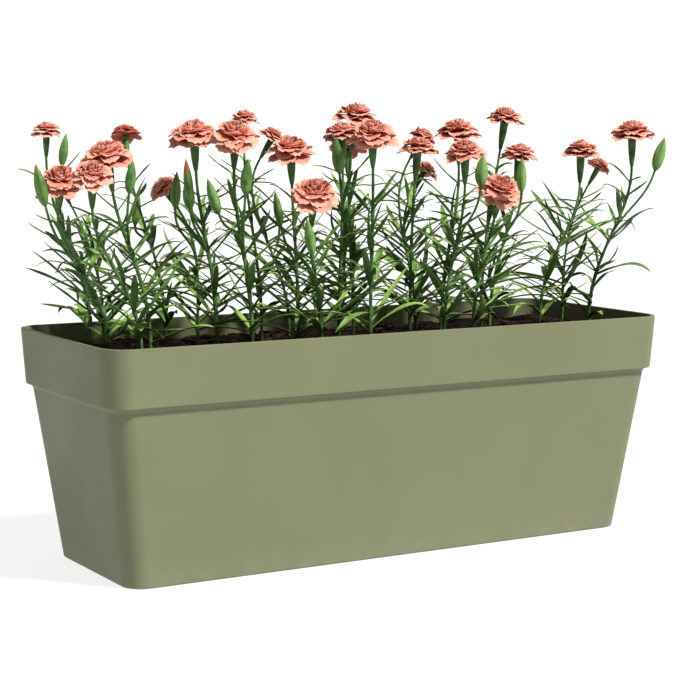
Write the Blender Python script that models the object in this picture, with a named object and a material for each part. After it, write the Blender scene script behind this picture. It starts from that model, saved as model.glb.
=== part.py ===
"""Planted window box: a moulded planter with a deep collar, filled with potting soil, with
twenty-eight carnations standing in it.

Metres, +Z up. The origin is the middle of the planter's underside, X runs along its length and
-Y is its front. The nodes are the planter, the soil, a leafy stem for each plant and a bloom for
each flower. A stem stands in its own hole in the soil, and a bloom sits on its stem's calyx.
"""

import math
import random

import bmesh
import bpy
import numpy as np
from mathutils import Vector

# Planter, outside sizes. The corner radius shrinks towards the base with the taper.
BOX_LENGTH = 0.600
BOX_DEPTH = 0.224
BOX_HEIGHT = 0.216
BASE_LENGTH = 0.541
BASE_DEPTH = 0.168
RIM_RADIUS = 0.025
BASE_RADIUS = 0.019
WALL = 0.003
FLOOR = 0.004
COLLAR_HEIGHT = 0.052
COLLAR_TAPER = 0.003
COLLAR_STEP = 0.0055
EDGE = 0.0015
CORNER_STEPS = 5
DRAIN_RADIUS = 0.006
DRAIN_PLACES = [(-0.200, 0.0), (-0.070, 0.0), (0.070, 0.0), (0.200, 0.0)]

# Soil
SOIL_LEVEL = 0.198
SOIL_GAP = 0.0005
SOIL_CELLS = (20, 8)
HOLE_DEPTH = 0.022
HOLE_CLEARANCE = 0.0009

# Stems, leaves and buds
STEM_RADIUS = 0.0020
SHOOT_RADIUS = 0.0013
STEM_SIDES = 4
STEM_STEPS = 4
STEM_DEPTH = 0.026
CALYX_LENGTH = 0.030
LEAF_THICKNESS = 0.0012
LEAF_STEPS = 3
LEAF_TRIES = 40
CLEARANCE = 0.0014
SAMPLE_STEP = 0.005

# Pairs of leaves, from the lowest up: how far up the stem, then the least and most of a leaf's
# length, width, lift along the stem and droop.
LEAF_PAIRS = [
    (0.05, (0.052, 0.078), (0.0058, 0.0078), (0.35, 1.00), (0.15, 0.45)),
    (0.26, (0.066, 0.100), (0.0054, 0.0074), (0.35, 1.10), (0.02, 0.35)),
    (0.48, (0.058, 0.090), (0.0048, 0.0068), (0.40, 1.20), (0.02, 0.30)),
    (0.70, (0.042, 0.068), (0.0038, 0.0052), (0.60, 1.50), (0.00, 0.20)),
]

# How far leaf tips may stand out from the middle at LEAF_SPREAD_LEVEL, and how fast that grows
# with their height.
LEAF_SPREAD = (0.290, 0.128)
LEAF_SPREAD_LEVEL = 0.250
LEAF_SPREAD_SLOPE = 0.45

# Blooms. A petal layer is its edge's radius and height and the next layer's root radius and
# height, in half diameters of the bloom.
BLOOM_GAP = 0.0004
PETALS = 6
SMALL_BLOOM = 0.0345
PETAL_THICKNESS = 0.0009
PETAL_LAYERS = [
    (1.00, 0.02, 0.34, 0.24),
    (0.84, 0.34, 0.26, 0.44),
    (0.52, 0.64, 0.00, 0.46),
]

# Planting. Blooms stand on a plan of steps along the planter, rows from its front and tiers up
# from the lowest, and the seeded rule below strays a little from it. A plant's foot is nearer the
# planter's middle than its bloom is, so that the plants spread.
PLACE_STEP = 0.020
FRONT_ROW = -0.078
ROW_STEP = 0.052
LOWEST_TIER = BOX_HEIGHT + 0.126
TIER_STEP = 0.017
PLANT_STRAY = 0.004
FOOT_STRAY = 0.006
FOOT_SHARE = 0.85
PLANT_TRIES = 80
PLANT_CLEARANCE = 0.002
BLOOM_SIZES = {"opening": 0.021, "small": 0.030, "medium": 0.040, "large": 0.048}

# How far a bloom's face leans from straight up, as the (x, y) part of a unit direction.
FACINGS = {
    "up": (0.00, -0.08),
    "tilted": (-0.18, -0.25),
    "front": (-0.15, -0.50),
    "left": (-0.60, -0.10),
    "right": (0.42, -0.20),
    "back": (0.12, 0.38),
}

# Each plant, from the left end to the right: its bloom's step from the planter's middle, its row,
# its tier, the bloom's size and the way it faces.
PLANTING_PLAN = [
    (-15, 2, 3, "small", "up"),
    (-13, 1, 2, "large", "tilted"),
    (-15, 1, 1, "medium", "front"),
    (-15, 0, 1, "medium", "front"),
    (-13, 3, 0, "opening", "left"),
    (-10, 3, 3, "small", "back"),
    (-9, 2, 0, "small", "left"),
    (-9, 1, 3, "large", "tilted"),
    (-8, 0, 3, "large", "front"),
    (-5, 2, 4, "small", "up"),
    (-2, 3, 3, "small", "right"),
    (-4, 1, 2, "large", "tilted"),
    (-4, 0, 0, "large", "front"),
    (1, 2, 4, "large", "up"),
    (-1, 0, 3, "large", "tilted"),
    (-1, 1, 3, "medium", "up"),
    (2, 3, 2, "medium", "back"),
    (5, 2, 3, "small", "right"),
    (3, 1, 2, "medium", "up"),
    (7, 3, 1, "small", "right"),
    (7, 2, 3, "large", "up"),
    (4, 0, 2, "medium", "tilted"),
    (10, 2, 4, "medium", "up"),
    (9, 1, 2, "medium", "up"),
    (6, 0, 0, "large", "front"),
    (13, 1, 2, "medium", "up"),
    (16, 2, 1, "small", "right"),
    (16, 1, 3, "large", "up"),
]

# Closed buds on side shoots: the plant's number, then how many steps to the right of its bloom
# and how many tiers below it the bud's tip stands. Each try stands further to the front.
SHOOT_PLAN = [
    (0, 1, 0), (1, 1, 0), (2, -3, -1), (5, 1, 3), (6, 0, -1),
    (7, -1, 2), (7, -2, 1), (8, -3, 2), (8, 1, 1), (11, -2, 2),
    (12, -2, 1), (15, -2, 0), (21, 0, 0), (24, 0, -2), (27, 2, 0),
]
ASIDE_STEP = 0.010
BUD_LENGTH = 0.034
BUD_RADIUS = 0.007
BUD_FORWARD = 0.006
BUD_FORWARD_STEP = 0.002
BUD_TRIES = 24
SHOOT_SHARES = (0.38, 0.56)

PLANTER_GREEN = (0.28, 0.30, 0.17)
SOIL_BROWN = (0.07, 0.035, 0.022)
LEAF_GREEN = (0.10, 0.24, 0.07)
PETAL_CORAL = (0.80, 0.26, 0.18)


def clear_scene():
    """Removes whatever the scene holds."""
    for obj in list(bpy.data.objects):
        bpy.data.objects.remove(obj)


def material(name, colour, roughness):
    """A plain Principled finish, with no metal in it."""
    made = bpy.data.materials.new(name)
    made.use_nodes = True
    shader = made.node_tree.nodes["Principled BSDF"]
    shader.inputs["Base Color"].default_value = (*colour, 1.0)
    shader.inputs["Roughness"].default_value = roughness
    shader.inputs["Metallic"].default_value = 0.0
    return made


def object_from(bm, name, finish=None):
    """Makes an object of a bmesh, with its faces pointing out."""
    bmesh.ops.recalc_face_normals(bm, faces=bm.faces)
    mesh = bpy.data.meshes.new(name)
    bm.to_mesh(mesh)
    bm.free()
    if finish:
        mesh.materials.append(finish)
    obj = bpy.data.objects.new(name, mesh)
    bpy.context.scene.collection.objects.link(obj)
    return obj


def boolean(obj, others, operation):
    """Joins or cuts obj with the others in one Boolean, which is applied. The others are removed."""
    group = bpy.data.collections.new(obj.name + "_tools")
    for other in others:
        group.objects.link(other)
    modifier = obj.modifiers.new("boolean", "BOOLEAN")
    modifier.operation = operation
    modifier.solver = "EXACT"
    modifier.operand_type = "COLLECTION"
    modifier.collection = group
    bpy.context.view_layer.update()
    graph = bpy.context.evaluated_depsgraph_get()
    mesh = bpy.data.meshes.new_from_object(obj.evaluated_get(graph))
    obj.modifiers.remove(modifier)
    obj.data = mesh
    for other in others:
        bpy.data.objects.remove(other)
    bpy.data.collections.remove(group)


# Planter and soil --------------------------------------------------------------------------------


def rounded_outline(length, depth, radius, z):
    """The points of a rounded rectangle, anticlockwise."""
    points = []
    for quarter in range(4):
        side_x = 1 if quarter in (0, 3) else -1
        side_y = 1 if quarter in (0, 1) else -1
        middle = (side_x * (length / 2 - radius), side_y * (depth / 2 - radius))
        for step in range(CORNER_STEPS + 1):
            angle = math.pi / 2 * (quarter + step / CORNER_STEPS)
            x = middle[0] + radius * math.cos(angle)
            y = middle[1] + radius * math.sin(angle)
            points.append((x, y, z))
    return points


def lofted(outlines):
    """A closed solid through a stack of outlines that have the same number of points."""
    bm = bmesh.new()
    rings = [[bm.verts.new(point) for point in outline] for outline in outlines]
    count = len(rings[0])
    for low, high in zip(rings[:-1], rings[1:]):
        for i in range(count):
            j = (i + 1) % count
            bm.faces.new((low[i], low[j], high[j], high[i]))
    bm.faces.new(rings[0])
    bm.faces.new(rings[-1])
    return bm


def outside_of_planter():
    """(length, depth, corner radius, height) of the planter's outside, from base to rim."""
    below = 2 * (COLLAR_TAPER + COLLAR_STEP)
    low = 2 * COLLAR_TAPER
    under = BOX_HEIGHT - COLLAR_HEIGHT
    return [
        (BASE_LENGTH - 2 * EDGE, BASE_DEPTH - 2 * EDGE, BASE_RADIUS - EDGE, 0.0),
        (BASE_LENGTH, BASE_DEPTH, BASE_RADIUS, EDGE),
        (BOX_LENGTH - below, BOX_DEPTH - below, RIM_RADIUS - COLLAR_STEP, under - 0.0045),
        (BOX_LENGTH - below + 0.004, BOX_DEPTH - below + 0.004, RIM_RADIUS - COLLAR_STEP, under - 0.001),
        (BOX_LENGTH - low - 2 * EDGE, BOX_DEPTH - low - 2 * EDGE, RIM_RADIUS - EDGE, under),
        (BOX_LENGTH - low, BOX_DEPTH - low, RIM_RADIUS, under + EDGE),
        (BOX_LENGTH, BOX_DEPTH, RIM_RADIUS, BOX_HEIGHT - EDGE / 2),
        (BOX_LENGTH - EDGE, BOX_DEPTH - EDGE, RIM_RADIUS - EDGE / 2, BOX_HEIGHT),
    ]


def inside_of_planter(gap=0.0):
    """The same for its inside, from floor to rim, kept clear of the wall by gap."""
    inset = 2 * (WALL + gap)
    below = 2 * (COLLAR_TAPER + COLLAR_STEP) + inset
    low = 2 * COLLAR_TAPER + inset
    under = BOX_HEIGHT - COLLAR_HEIGHT
    radius = RIM_RADIUS - WALL - gap
    floor = FLOOR + gap
    lower = BASE_RADIUS - WALL - gap
    return [
        (BASE_LENGTH - inset - 0.003, BASE_DEPTH - inset - 0.003, lower - 0.0015, floor),
        (BASE_LENGTH - inset, BASE_DEPTH - inset, lower, floor + 0.002),
        (BOX_LENGTH - below, BOX_DEPTH - below, radius - COLLAR_STEP, under - 0.002 + gap),
        (BOX_LENGTH - low, BOX_DEPTH - low, radius, under + 0.003 + gap),
        (BOX_LENGTH - inset, BOX_DEPTH - inset, radius, BOX_HEIGHT),
    ]


def make_planter(finish):
    """The moulded shell with its collar, and the drain holes through its floor."""
    rings = outside_of_planter() + list(reversed(inside_of_planter()))
    planter = object_from(lofted([rounded_outline(*ring) for ring in rings]), "planter", finish)
    drills = []
    for x, y in DRAIN_PLACES:
        bm = bmesh.new()
        bmesh.ops.create_cone(
            bm, cap_ends=True, segments=8, radius1=DRAIN_RADIUS, radius2=DRAIN_RADIUS, depth=4 * FLOOR
        )
        bmesh.ops.translate(bm, verts=bm.verts, vec=(x, y, 0.0))
        drills.append(object_from(bm, "drill"))
    boolean(planter, drills, "DIFFERENCE")
    return planter


def soil_height(x, y):
    """The level of the soil's crumbly top."""
    crown = 0.003 * math.cos(math.pi * y / BOX_DEPTH)
    swell = 0.0016 * math.sin(31 * x + 1.3) * math.cos(47 * y + 0.4)
    lumps = 0.0013 * math.sin(97 * x + 61 * y) + 0.0009 * math.cos(143 * x - 88 * y)
    return SOIL_LEVEL - 0.002 + crown + swell + lumps


def soil_slab():
    """A block far wider than the planter whose top follows soil_height."""
    columns, rows = SOIL_CELLS
    half_x, half_y = BOX_LENGTH / 2 + 0.01, BOX_DEPTH / 2 + 0.01
    bm = bmesh.new()
    bmesh.ops.create_grid(bm, x_segments=columns, y_segments=rows, size=1.0)
    for vertex in bm.verts:
        x, y = vertex.co.x * half_x, vertex.co.y * half_y
        vertex.co = (x, y, soil_height(x, y))
    sides = [edge for edge in bm.edges if edge.is_boundary]
    made = bmesh.ops.extrude_edge_only(bm, edges=sides)["geom"]
    for vertex in [item for item in made if isinstance(item, bmesh.types.BMVert)]:
        vertex.co.z = -0.02
    bmesh.ops.holes_fill(bm, edges=[edge for edge in bm.edges if edge.is_boundary])
    return object_from(bm, "soil_slab")


def make_soil(finish):
    """The potting soil: the planter's inside up to the crumbly top, with a hole for each stem."""
    filling = lofted([rounded_outline(*ring) for ring in inside_of_planter(SOIL_GAP)])
    soil = object_from(filling, "soil", finish)
    boolean(soil, [soil_slab()], "INTERSECT")
    drills = []
    for plant in PLANTS:
        x, y = plant[0]
        bm = bmesh.new()
        radius = stem_radius(plant) + HOLE_CLEARANCE
        bmesh.ops.create_cone(bm, cap_ends=True, segments=5, radius1=radius, radius2=radius, depth=0.06)
        bmesh.ops.translate(bm, verts=bm.verts, vec=(x, y, soil_height(x, y) - HOLE_DEPTH + 0.03))
        drills.append(object_from(bm, "drill"))
    boolean(soil, drills, "DIFFERENCE")
    return soil


# Curves that the stems, leaves and buds follow -----------------------------------------------------


def bezier(corners, steps):
    """Points along a cubic curve with these four corners."""
    a, b, c, d = (np.array(corner, float) for corner in corners)
    t = np.linspace(0.0, 1.0, steps + 1)[:, None]
    return (1 - t) ** 3 * a + 3 * (1 - t) ** 2 * t * b + 3 * (1 - t) * t**2 * c + t**3 * d


def face_of(plant):
    """The direction that a plant's bloom faces."""
    lean_x, lean_y = plant[3]
    return np.array([lean_x, lean_y, math.sqrt(1 - lean_x**2 - lean_y**2)])


def calyx_scale(plant):
    """How much smaller than a full one the plant's calyx is."""
    return min(1.0, plant[2] / 0.040)


def stem_radius(plant):
    """A stem's thickness, which goes with the size of its bloom."""
    return STEM_RADIUS * min(1.0, 0.45 + 0.55 * plant[2] / 0.045)


def stem_path(plant):
    """A stem's middle line, from the soil to the bottom of its calyx."""
    (x, y), head, _, _ = plant
    face = face_of(plant)
    top = np.array(head) - face * (CALYX_LENGTH * calyx_scale(plant) + BLOOM_GAP)
    start = np.array([x, y, soil_height(x, y) + 0.006])
    reach = np.linalg.norm(top - start)
    rise = np.array([0.0, 0.0, 1.0])
    return bezier((start, start + 0.45 * reach * rise, top - 0.33 * reach * face, top), STEM_STEPS)


def point_along(path, share):
    """The point at a share of a path's length, and the path's direction there."""
    lengths = np.concatenate([[0], np.cumsum(np.linalg.norm(np.diff(path, axis=0), axis=1))])
    place = share * lengths[-1]
    i = min(int(np.searchsorted(lengths, place, side="right")) - 1, len(path) - 2)
    part = (place - lengths[i]) / (lengths[i + 1] - lengths[i])
    step = path[i + 1] - path[i]
    return path[i] + part * step, step / np.linalg.norm(step)


def bud_path(bud):
    """A side shoot's middle line from its stem to the bottom of its bud, then to the bud's tip."""
    number, share, bottom, tip = bud
    start, along = point_along(stem_path(PLANTS[number]), share)
    bottom, tip = np.array(bottom), np.array(tip)
    reach = np.linalg.norm(bottom - start)
    up = (tip - bottom) / np.linalg.norm(tip - bottom)
    shoot = bezier((start, start + 0.4 * reach * along, bottom - 0.4 * reach * up, bottom), 2)
    return shoot, tip


def leaf_path(start, heading, length, droop):
    """A leaf's middle line: out along heading, then over and down by droop."""
    reach = np.array(heading) * length
    fall = np.array([0.0, 0.0, -droop * length])
    bend = start + 0.75 * reach + 0.2 * fall
    return bezier((start, start + 0.38 * reach, bend, start + 0.95 * reach + fall), LEAF_STEPS)


def samples(path):
    """Points at even steps along a path, ends included."""
    length = np.linalg.norm(np.diff(path, axis=0), axis=1).sum()
    count = max(3, math.ceil(length / SAMPLE_STEP))
    return np.array([point_along(path, i / count)[0] for i in range(count + 1)])


# Keeping the plants clear of each other ------------------------------------------------------------


# Owners that are no plant: what every plant's leaves and shoots keep clear of, and what is only
# being tried and keeps clear of everything.
ALL_PLANTS = -1
NOT_YET_OWNED = -2


class Room:
    """The space already taken: points with a radius, each belonging to a plant."""

    def __init__(self):
        self.points = np.zeros((0, 3))
        self.radii = np.zeros(0)
        self.owners = np.zeros(0, int)

    def take(self, points, radii, owner):
        """Adds the points of a new piece."""
        count = len(points)
        self.points = np.concatenate([self.points, points])
        self.radii = np.concatenate([self.radii, np.broadcast_to(radii, count)])
        self.owners = np.concatenate([self.owners, np.full(count, owner)])

    def gap(self, points, radii, owner):
        """The least gap from a piece with these radii at its points to what others own."""
        others = self.owners != owner
        apart = np.linalg.norm(points[:, None] - self.points[None, others], axis=2)
        apart = apart - self.radii[None, others] - np.reshape(radii, (-1, 1))
        return apart.min(initial=np.inf)


def inside_rim(points):
    """Whether the points below the rim stay between the soil and the planter's wall, and the tip
    isn't too far out."""
    low = points[points[:, 2] < BOX_HEIGHT + 0.006]
    half_x, half_y = BOX_LENGTH / 2 - WALL - 0.009, BOX_DEPTH / 2 - WALL - 0.009
    corner_x = np.abs(low[:, 0]) - (half_x - RIM_RADIUS)
    corner_y = np.abs(low[:, 1]) - (half_y - RIM_RADIUS)
    in_sides = (corner_x < RIM_RADIUS) & (corner_y < RIM_RADIUS)
    in_corner = np.hypot(corner_x.clip(0), corner_y.clip(0)) < RIM_RADIUS
    above = points[1:, 2] > SOIL_LEVEL + 0.006
    wider = LEAF_SPREAD_SLOPE * (points[-1, 2] - LEAF_SPREAD_LEVEL)
    near = abs(points[-1, 0]) < LEAF_SPREAD[0] + wider and abs(points[-1, 1]) < LEAF_SPREAD[1] + wider
    return bool((in_sides & in_corner).all() and above.all() and near)


def bloom_room(plant):
    """Points and radii that fill the space of a plant's bloom and calyx."""
    head, size = np.array(plant[1]), plant[2]
    face = face_of(plant)
    side = np.cross(face, [1.0, 0.0, 0.0])
    side /= np.linalg.norm(side)
    other = np.cross(face, side)
    points = [head + face * 0.14 * size, head - face * CALYX_LENGTH * 0.5 * calyx_scale(plant)]
    radii = [0.24 * size, 0.006]
    for turn in range(10):
        angle = math.tau * turn / 10
        spoke = math.cos(angle) * side + math.sin(angle) * other
        points.append(head + spoke * 0.36 * size + face * 0.06 * size)
        radii.append(0.17 * size)
    return np.array(points), np.array(radii)


def tried_plant(draw, plan, attempt):
    """One seeded try for a plant as (foot, middle of the bloom, the bloom's diameter, lean of its
    face). Later tries stray further from the plan."""
    place, row, tier, size, facing = plan
    stray = PLANT_STRAY * (1 + 0.08 * attempt)
    x = PLACE_STEP * place + draw.uniform(-stray, stray)
    y = FRONT_ROW + ROW_STEP * row + draw.uniform(-stray, stray)
    z = LOWEST_TIER + TIER_STEP * tier + draw.uniform(-stray, stray)
    foot_x = FOOT_SHARE * x + draw.uniform(-FOOT_STRAY, FOOT_STRAY)
    foot_y = FOOT_SHARE * y + draw.uniform(-FOOT_STRAY, FOOT_STRAY)
    lean = tuple(part + draw.uniform(-0.08, 0.08) for part in FACINGS[facing])
    return (foot_x, foot_y), (x, y, z), BLOOM_SIZES[size] * draw.uniform(0.95, 1.05), lean


def planted():
    """The plants of the plan. Each takes the first of its tries that keeps clear of the others."""
    draw = random.Random(23)
    room = Room()
    plants = []
    for number, plan in enumerate(PLANTING_PLAN):
        for attempt in range(PLANT_TRIES):
            plant = tried_plant(draw, plan, attempt)
            stem = samples(stem_path(plant))
            bloom, radii = bloom_room(plant)
            gap = min(room.gap(stem, stem_radius(plant), number), room.gap(bloom, radii, number))
            if gap > PLANT_CLEARANCE:
                break
        plants.append(plant)
        room.take(stem, stem_radius(plant), number)
        room.take(bloom, radii, number)
    return plants


def room_of_plants():
    """The room once every stem and bloom has its place. A bloom's owner is no plant, so that its
    own stem's leaves and shoots keep clear of it too."""
    room = Room()
    for number, plant in enumerate(PLANTS):
        room.take(samples(stem_path(plant)), stem_radius(plant), number)
        room.take(*bloom_room(plant), ALL_PLANTS)
    return room


def tried_bud(draw, plan, attempt):
    """One seeded try for a bud as (plant number, how far up its stem the shoot leaves, the bud's
    bottom, its tip)."""
    number, aside, below = plan
    x, y, z = PLANTS[number][1]
    forward = BUD_FORWARD + BUD_FORWARD_STEP * attempt
    tip = np.array([x + ASIDE_STEP * aside, y - forward, z - TIER_STEP * below])
    lean = np.array([0.10 * aside + draw.uniform(-0.12, 0.12), draw.uniform(-0.15, 0.05), 1.0])
    bottom = tip - BUD_LENGTH * draw.uniform(0.85, 1.15) * lean / np.linalg.norm(lean)
    return number, draw.uniform(*SHOOT_SHARES), bottom, tip


def side_shoots(room):
    """The buds of the plan. Each takes the first of its tries that keeps clear of all in the room,
    and takes its own place there."""
    draw = random.Random(31)
    buds = []
    for plan in SHOOT_PLAN:
        for attempt in range(BUD_TRIES):
            bud = tried_bud(draw, plan, attempt)
            shoot, tip = bud_path(bud)
            body = samples(np.array([shoot[-1], tip]))
            shoot_gap = room.gap(samples(shoot), SHOOT_RADIUS, bud[0])
            if min(shoot_gap, room.gap(body, BUD_RADIUS, NOT_YET_OWNED)) > CLEARANCE:
                buds.append(bud)
                room.take(samples(shoot), SHOOT_RADIUS, bud[0])
                room.take(body, BUD_RADIUS, ALL_PLANTS)
                break
    return buds


PLANTS = planted()
ROOM = room_of_plants()
BUDS = side_shoots(ROOM)


def tried_leaf(draw, start, along, turn, kind, attempt):
    """One seeded try for a leaf as (path, width). Later tries are shorter and turn further away
    from where the leaf should be."""
    _, lengths, widths, lifts, droops = kind
    turn += draw.uniform(-0.12, 0.12) * (1 + attempt)
    out = np.array([math.cos(turn), math.sin(turn), 0.0])
    heading = out + draw.uniform(*lifts) * along
    heading /= np.linalg.norm(heading)
    length = draw.uniform(*lengths) - 0.0008 * attempt
    width = draw.uniform(*widths)
    return leaf_path(start, heading, length, draw.uniform(*droops)), width


def leaves_of_all(room):
    """For each plant, its leaves as (path, width). They stand in pairs up the stem, and each takes
    the first of its tries that keeps clear of the other plants, the blooms, the soil and the rim."""
    draw = random.Random(41)
    found = [[] for _ in PLANTS]
    for pair, kind in enumerate(LEAF_PAIRS):
        for number, plant in enumerate(PLANTS):
            if plant[2] < SMALL_BLOOM and pair == len(LEAF_PAIRS) - 1:
                continue
            path = stem_path(plant)
            pair_share = kind[0] + draw.uniform(-0.04, 0.05)
            first_turn = draw.uniform(0, math.tau)
            for side in range(2):
                start, along = point_along(path, pair_share + 0.02 * side)
                for attempt in range(LEAF_TRIES):
                    turn = first_turn + math.pi * side
                    leaf, width = tried_leaf(draw, start, along, turn, kind, attempt)
                    points = samples(leaf)
                    if inside_rim(points) and room.gap(points, width / 2, number) > CLEARANCE:
                        found[number].append((leaf, width))
                        room.take(points, width / 2, number)
                        break
    return found


# Solids along the curves ---------------------------------------------------------------------------


def tube(centres, radii, sides):
    """A closed tube through the centres with these radii, or a cone's point where a radius is 0."""
    bm = bmesh.new()
    rings = []
    side = np.array([1.0, 0.0, 0.0])
    for i, (centre, radius) in enumerate(zip(centres, radii)):
        along = centres[min(i + 1, len(centres) - 1)] - centres[max(i - 1, 0)]
        along = along / np.linalg.norm(along)
        side = side - (side @ along) * along
        side /= np.linalg.norm(side)
        other = np.cross(along, side)
        if radius == 0:
            rings.append([bm.verts.new(centre)])
            continue
        turns = [math.tau * k / sides for k in range(sides)]
        rings.append(
            [bm.verts.new(centre + radius * (math.cos(a) * side + math.sin(a) * other)) for a in turns]
        )
    for low, high in zip(rings[:-1], rings[1:]):
        for k in range(sides):
            n = (k + 1) % sides
            if len(high) == 1:
                bm.faces.new((low[k], low[n], high[0]))
            else:
                bm.faces.new((low[k], low[n], high[n], high[k]))
    bm.faces.new(rings[0])
    if len(rings[-1]) > 1:
        bm.faces.new(rings[-1])
    return bm


def blade(path, width):
    """A leaf: a thin keeled strip along the path, with its root inside the stem."""
    bm = bmesh.new()
    rings = []
    for i, part in enumerate((0.35, 1.0, 0.80)):
        along = path[i + 1] - path[max(i - 1, 0)]
        along = along / np.linalg.norm(along)
        across = np.cross(along, [0.0, 0.0, 1.0])
        across *= width / 2 * part / np.linalg.norm(across)
        up = np.cross(across, along)
        keel = path[i] - LEAF_THICKNESS * up / np.linalg.norm(up)
        ring = (path[i] - across + 0.25 * up, path[i] + across + 0.25 * up, keel)
        rings.append([bm.verts.new(point) for point in ring])
    tip = bm.verts.new(path[-1])
    for low, high in zip(rings[:-1], rings[1:]):
        for k in range(3):
            n = (k + 1) % 3
            bm.faces.new((low[k], low[n], high[n]))
            bm.faces.new((low[k], high[n], high[k]))
    for k in range(3):
        bm.faces.new((rings[-1][k], rings[-1][(k + 1) % 3], tip))
    bm.faces.new(rings[0])
    return bm


def make_stem(number, leaves, finish):
    """A plant's stem with its calyx, leaves and side shoots, fused into one solid."""
    plant = PLANTS[number]
    path = stem_path(plant)
    foot = path[0] - [0.0, 0.0, STEM_DEPTH]
    centres = [foot, *path]
    radii = [stem_radius(plant) * part for part in (1.0, 1.0, 0.95, 0.90, 0.84, 0.78)]
    scale = calyx_scale(plant)
    face = face_of(plant)
    for share, radius in ((0.30, 0.0034), (1.0, 0.0050)):
        centres.append(path[-1] + face * CALYX_LENGTH * scale * share)
        radii.append(radius * scale)
    stem = object_from(tube(centres, radii, STEM_SIDES), f"stem_{number + 1:02d}", finish)
    parts = [object_from(blade(leaf, width), "leaf") for leaf, width in leaves]
    for bud in [item for item in BUDS if item[0] == number]:
        shoot, tip = bud_path(bud)
        centres = list(shoot)
        radii = [0.8 * SHOOT_RADIUS, SHOOT_RADIUS, 1.3 * SHOOT_RADIUS]
        for share, radius in ((0.3, 0.0064), (0.62, 0.0058), (1.0, 0.0)):
            centres.append(shoot[-1] + share * (tip - shoot[-1]))
            radii.append(radius)
        parts.append(object_from(tube(centres, radii, 5), "bud"))
    boolean(stem, parts, "UNION")
    return stem


# Blooms --------------------------------------------------------------------------------------------


def petal_edge(radius, reach, height, turn, draw):
    """A layer's edge as (angle, radius, height) corners, three to a petal: the cut between it and
    the petal before, then the petal's two ends. The ends wave up and down."""
    sweep = math.tau / PETALS
    edge = []
    for petal in range(PETALS):
        middle = (petal + turn) * sweep
        stretch = draw.uniform(0.93, 1.05)
        wave = draw.uniform(-0.09, 0.09)
        edge.append((middle - 0.5 * sweep, 0.74 * reach * radius, (height - 0.05) * radius))
        edge.append((middle - 0.28 * sweep, stretch * reach * radius, (height + wave) * radius))
        edge.append((middle + 0.28 * sweep, stretch * reach * radius, (height - wave) * radius))
    return edge


def ring_of(bm, corners, drop=0.0):
    """Vertices at (angle, radius, height) corners, lowered by drop."""
    return [bm.verts.new((r * math.cos(a), r * math.sin(a), z - drop)) for a, r, z in corners]


def root_ring(bm, reach, height, turn):
    """A ring of vertices behind the cuts of a layer."""
    sweep = math.tau / PETALS
    return ring_of(bm, [((petal + turn - 0.5) * sweep, reach, height) for petal in range(PETALS)])


def join_petals(bm, roots, edge, behind_cuts):
    """Fans out to a layer's edge from a ring of one root to a petal, which stands behind the
    petals' cuts or behind their middles."""
    for petal in range(PETALS):
        after = (petal + 1) % PETALS
        cut, left, right = edge[3 * petal : 3 * petal + 3]
        next_cut, next_left = edge[3 * after], edge[3 * after + 1]
        root, next_root = roots[petal], roots[after]
        bm.faces.new((root, left, right))
        if behind_cuts:
            bm.faces.new((root, cut, left))
            bm.faces.new((root, right, next_root))
            bm.faces.new((next_root, right, next_cut))
        else:
            bm.faces.new((root, right, next_cut))
            bm.faces.new((root, next_cut, next_root))
            bm.faces.new((next_root, next_cut, next_left))


def make_bloom(number, finish):
    """A plant's flower: layers of thin waved petals, each cut from its neighbours and half a petal
    round from the layer below, in one closed surface that runs out and back along every layer."""
    plant = PLANTS[number]
    radius = plant[2] / 2
    draw = random.Random(700 + number)
    layers = PETAL_LAYERS if plant[2] > SMALL_BLOOM else PETAL_LAYERS[::2]
    bm = bmesh.new()
    roots = root_ring(bm, 0.14 * radius, 0.0, 0.0)
    bm.faces.new(roots)
    for place, (reach, height, root_reach, root_height) in enumerate(layers):
        corners = petal_edge(radius, reach, height, 0.5 * place, draw)
        under = ring_of(bm, corners, PETAL_THICKNESS)
        over = ring_of(bm, corners)
        join_petals(bm, roots, under, behind_cuts=place == 0)
        for i in range(len(under)):
            j = (i + 1) % len(under)
            bm.faces.new((under[i], under[j], over[j], over[i]))
        if place < len(layers) - 1:
            roots = root_ring(bm, root_reach * radius, root_height * radius, 0.5 * place)
            join_petals(bm, roots, over, behind_cuts=True)
            roots = roots[1:] + roots[:1]
        else:
            heart = bm.verts.new((0.0, 0.0, root_height * radius))
            for i in range(len(over)):
                bm.faces.new((over[i], over[(i + 1) % len(over)], heart))
    bloom = object_from(bm, f"bloom_{number + 1:02d}", finish)
    bloom.rotation_mode = "QUATERNION"
    bloom.rotation_quaternion = Vector((0.0, 0.0, 1.0)).rotation_difference(Vector(face_of(plant)))
    bloom.location = Vector(plant[1])
    return bloom


def main():
    clear_scene()
    make_planter(material("planter_plastic", PLANTER_GREEN, 0.55))
    make_soil(material("potting_soil", SOIL_BROWN, 0.95))
    green = material("leaf_green", LEAF_GREEN, 0.55)
    coral = material("petal_coral", PETAL_CORAL, 0.6)
    for number, leaves in enumerate(leaves_of_all(ROOM)):
        make_stem(number, leaves, green)
        make_bloom(number, coral)


main()
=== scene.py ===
"""Planted window box: a sage-green moulded trough of potting soil with carnations in bloom.

The script runs from top to bottom: the frame, the camera and the light, then the trough, the
soil, the leafy stems and the blooms. Lengths are in metres, +X along the trough, -Y its front.
"""

import math
import random

import bpy
import numpy as np
from mathutils import Matrix, Vector, noise


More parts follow.
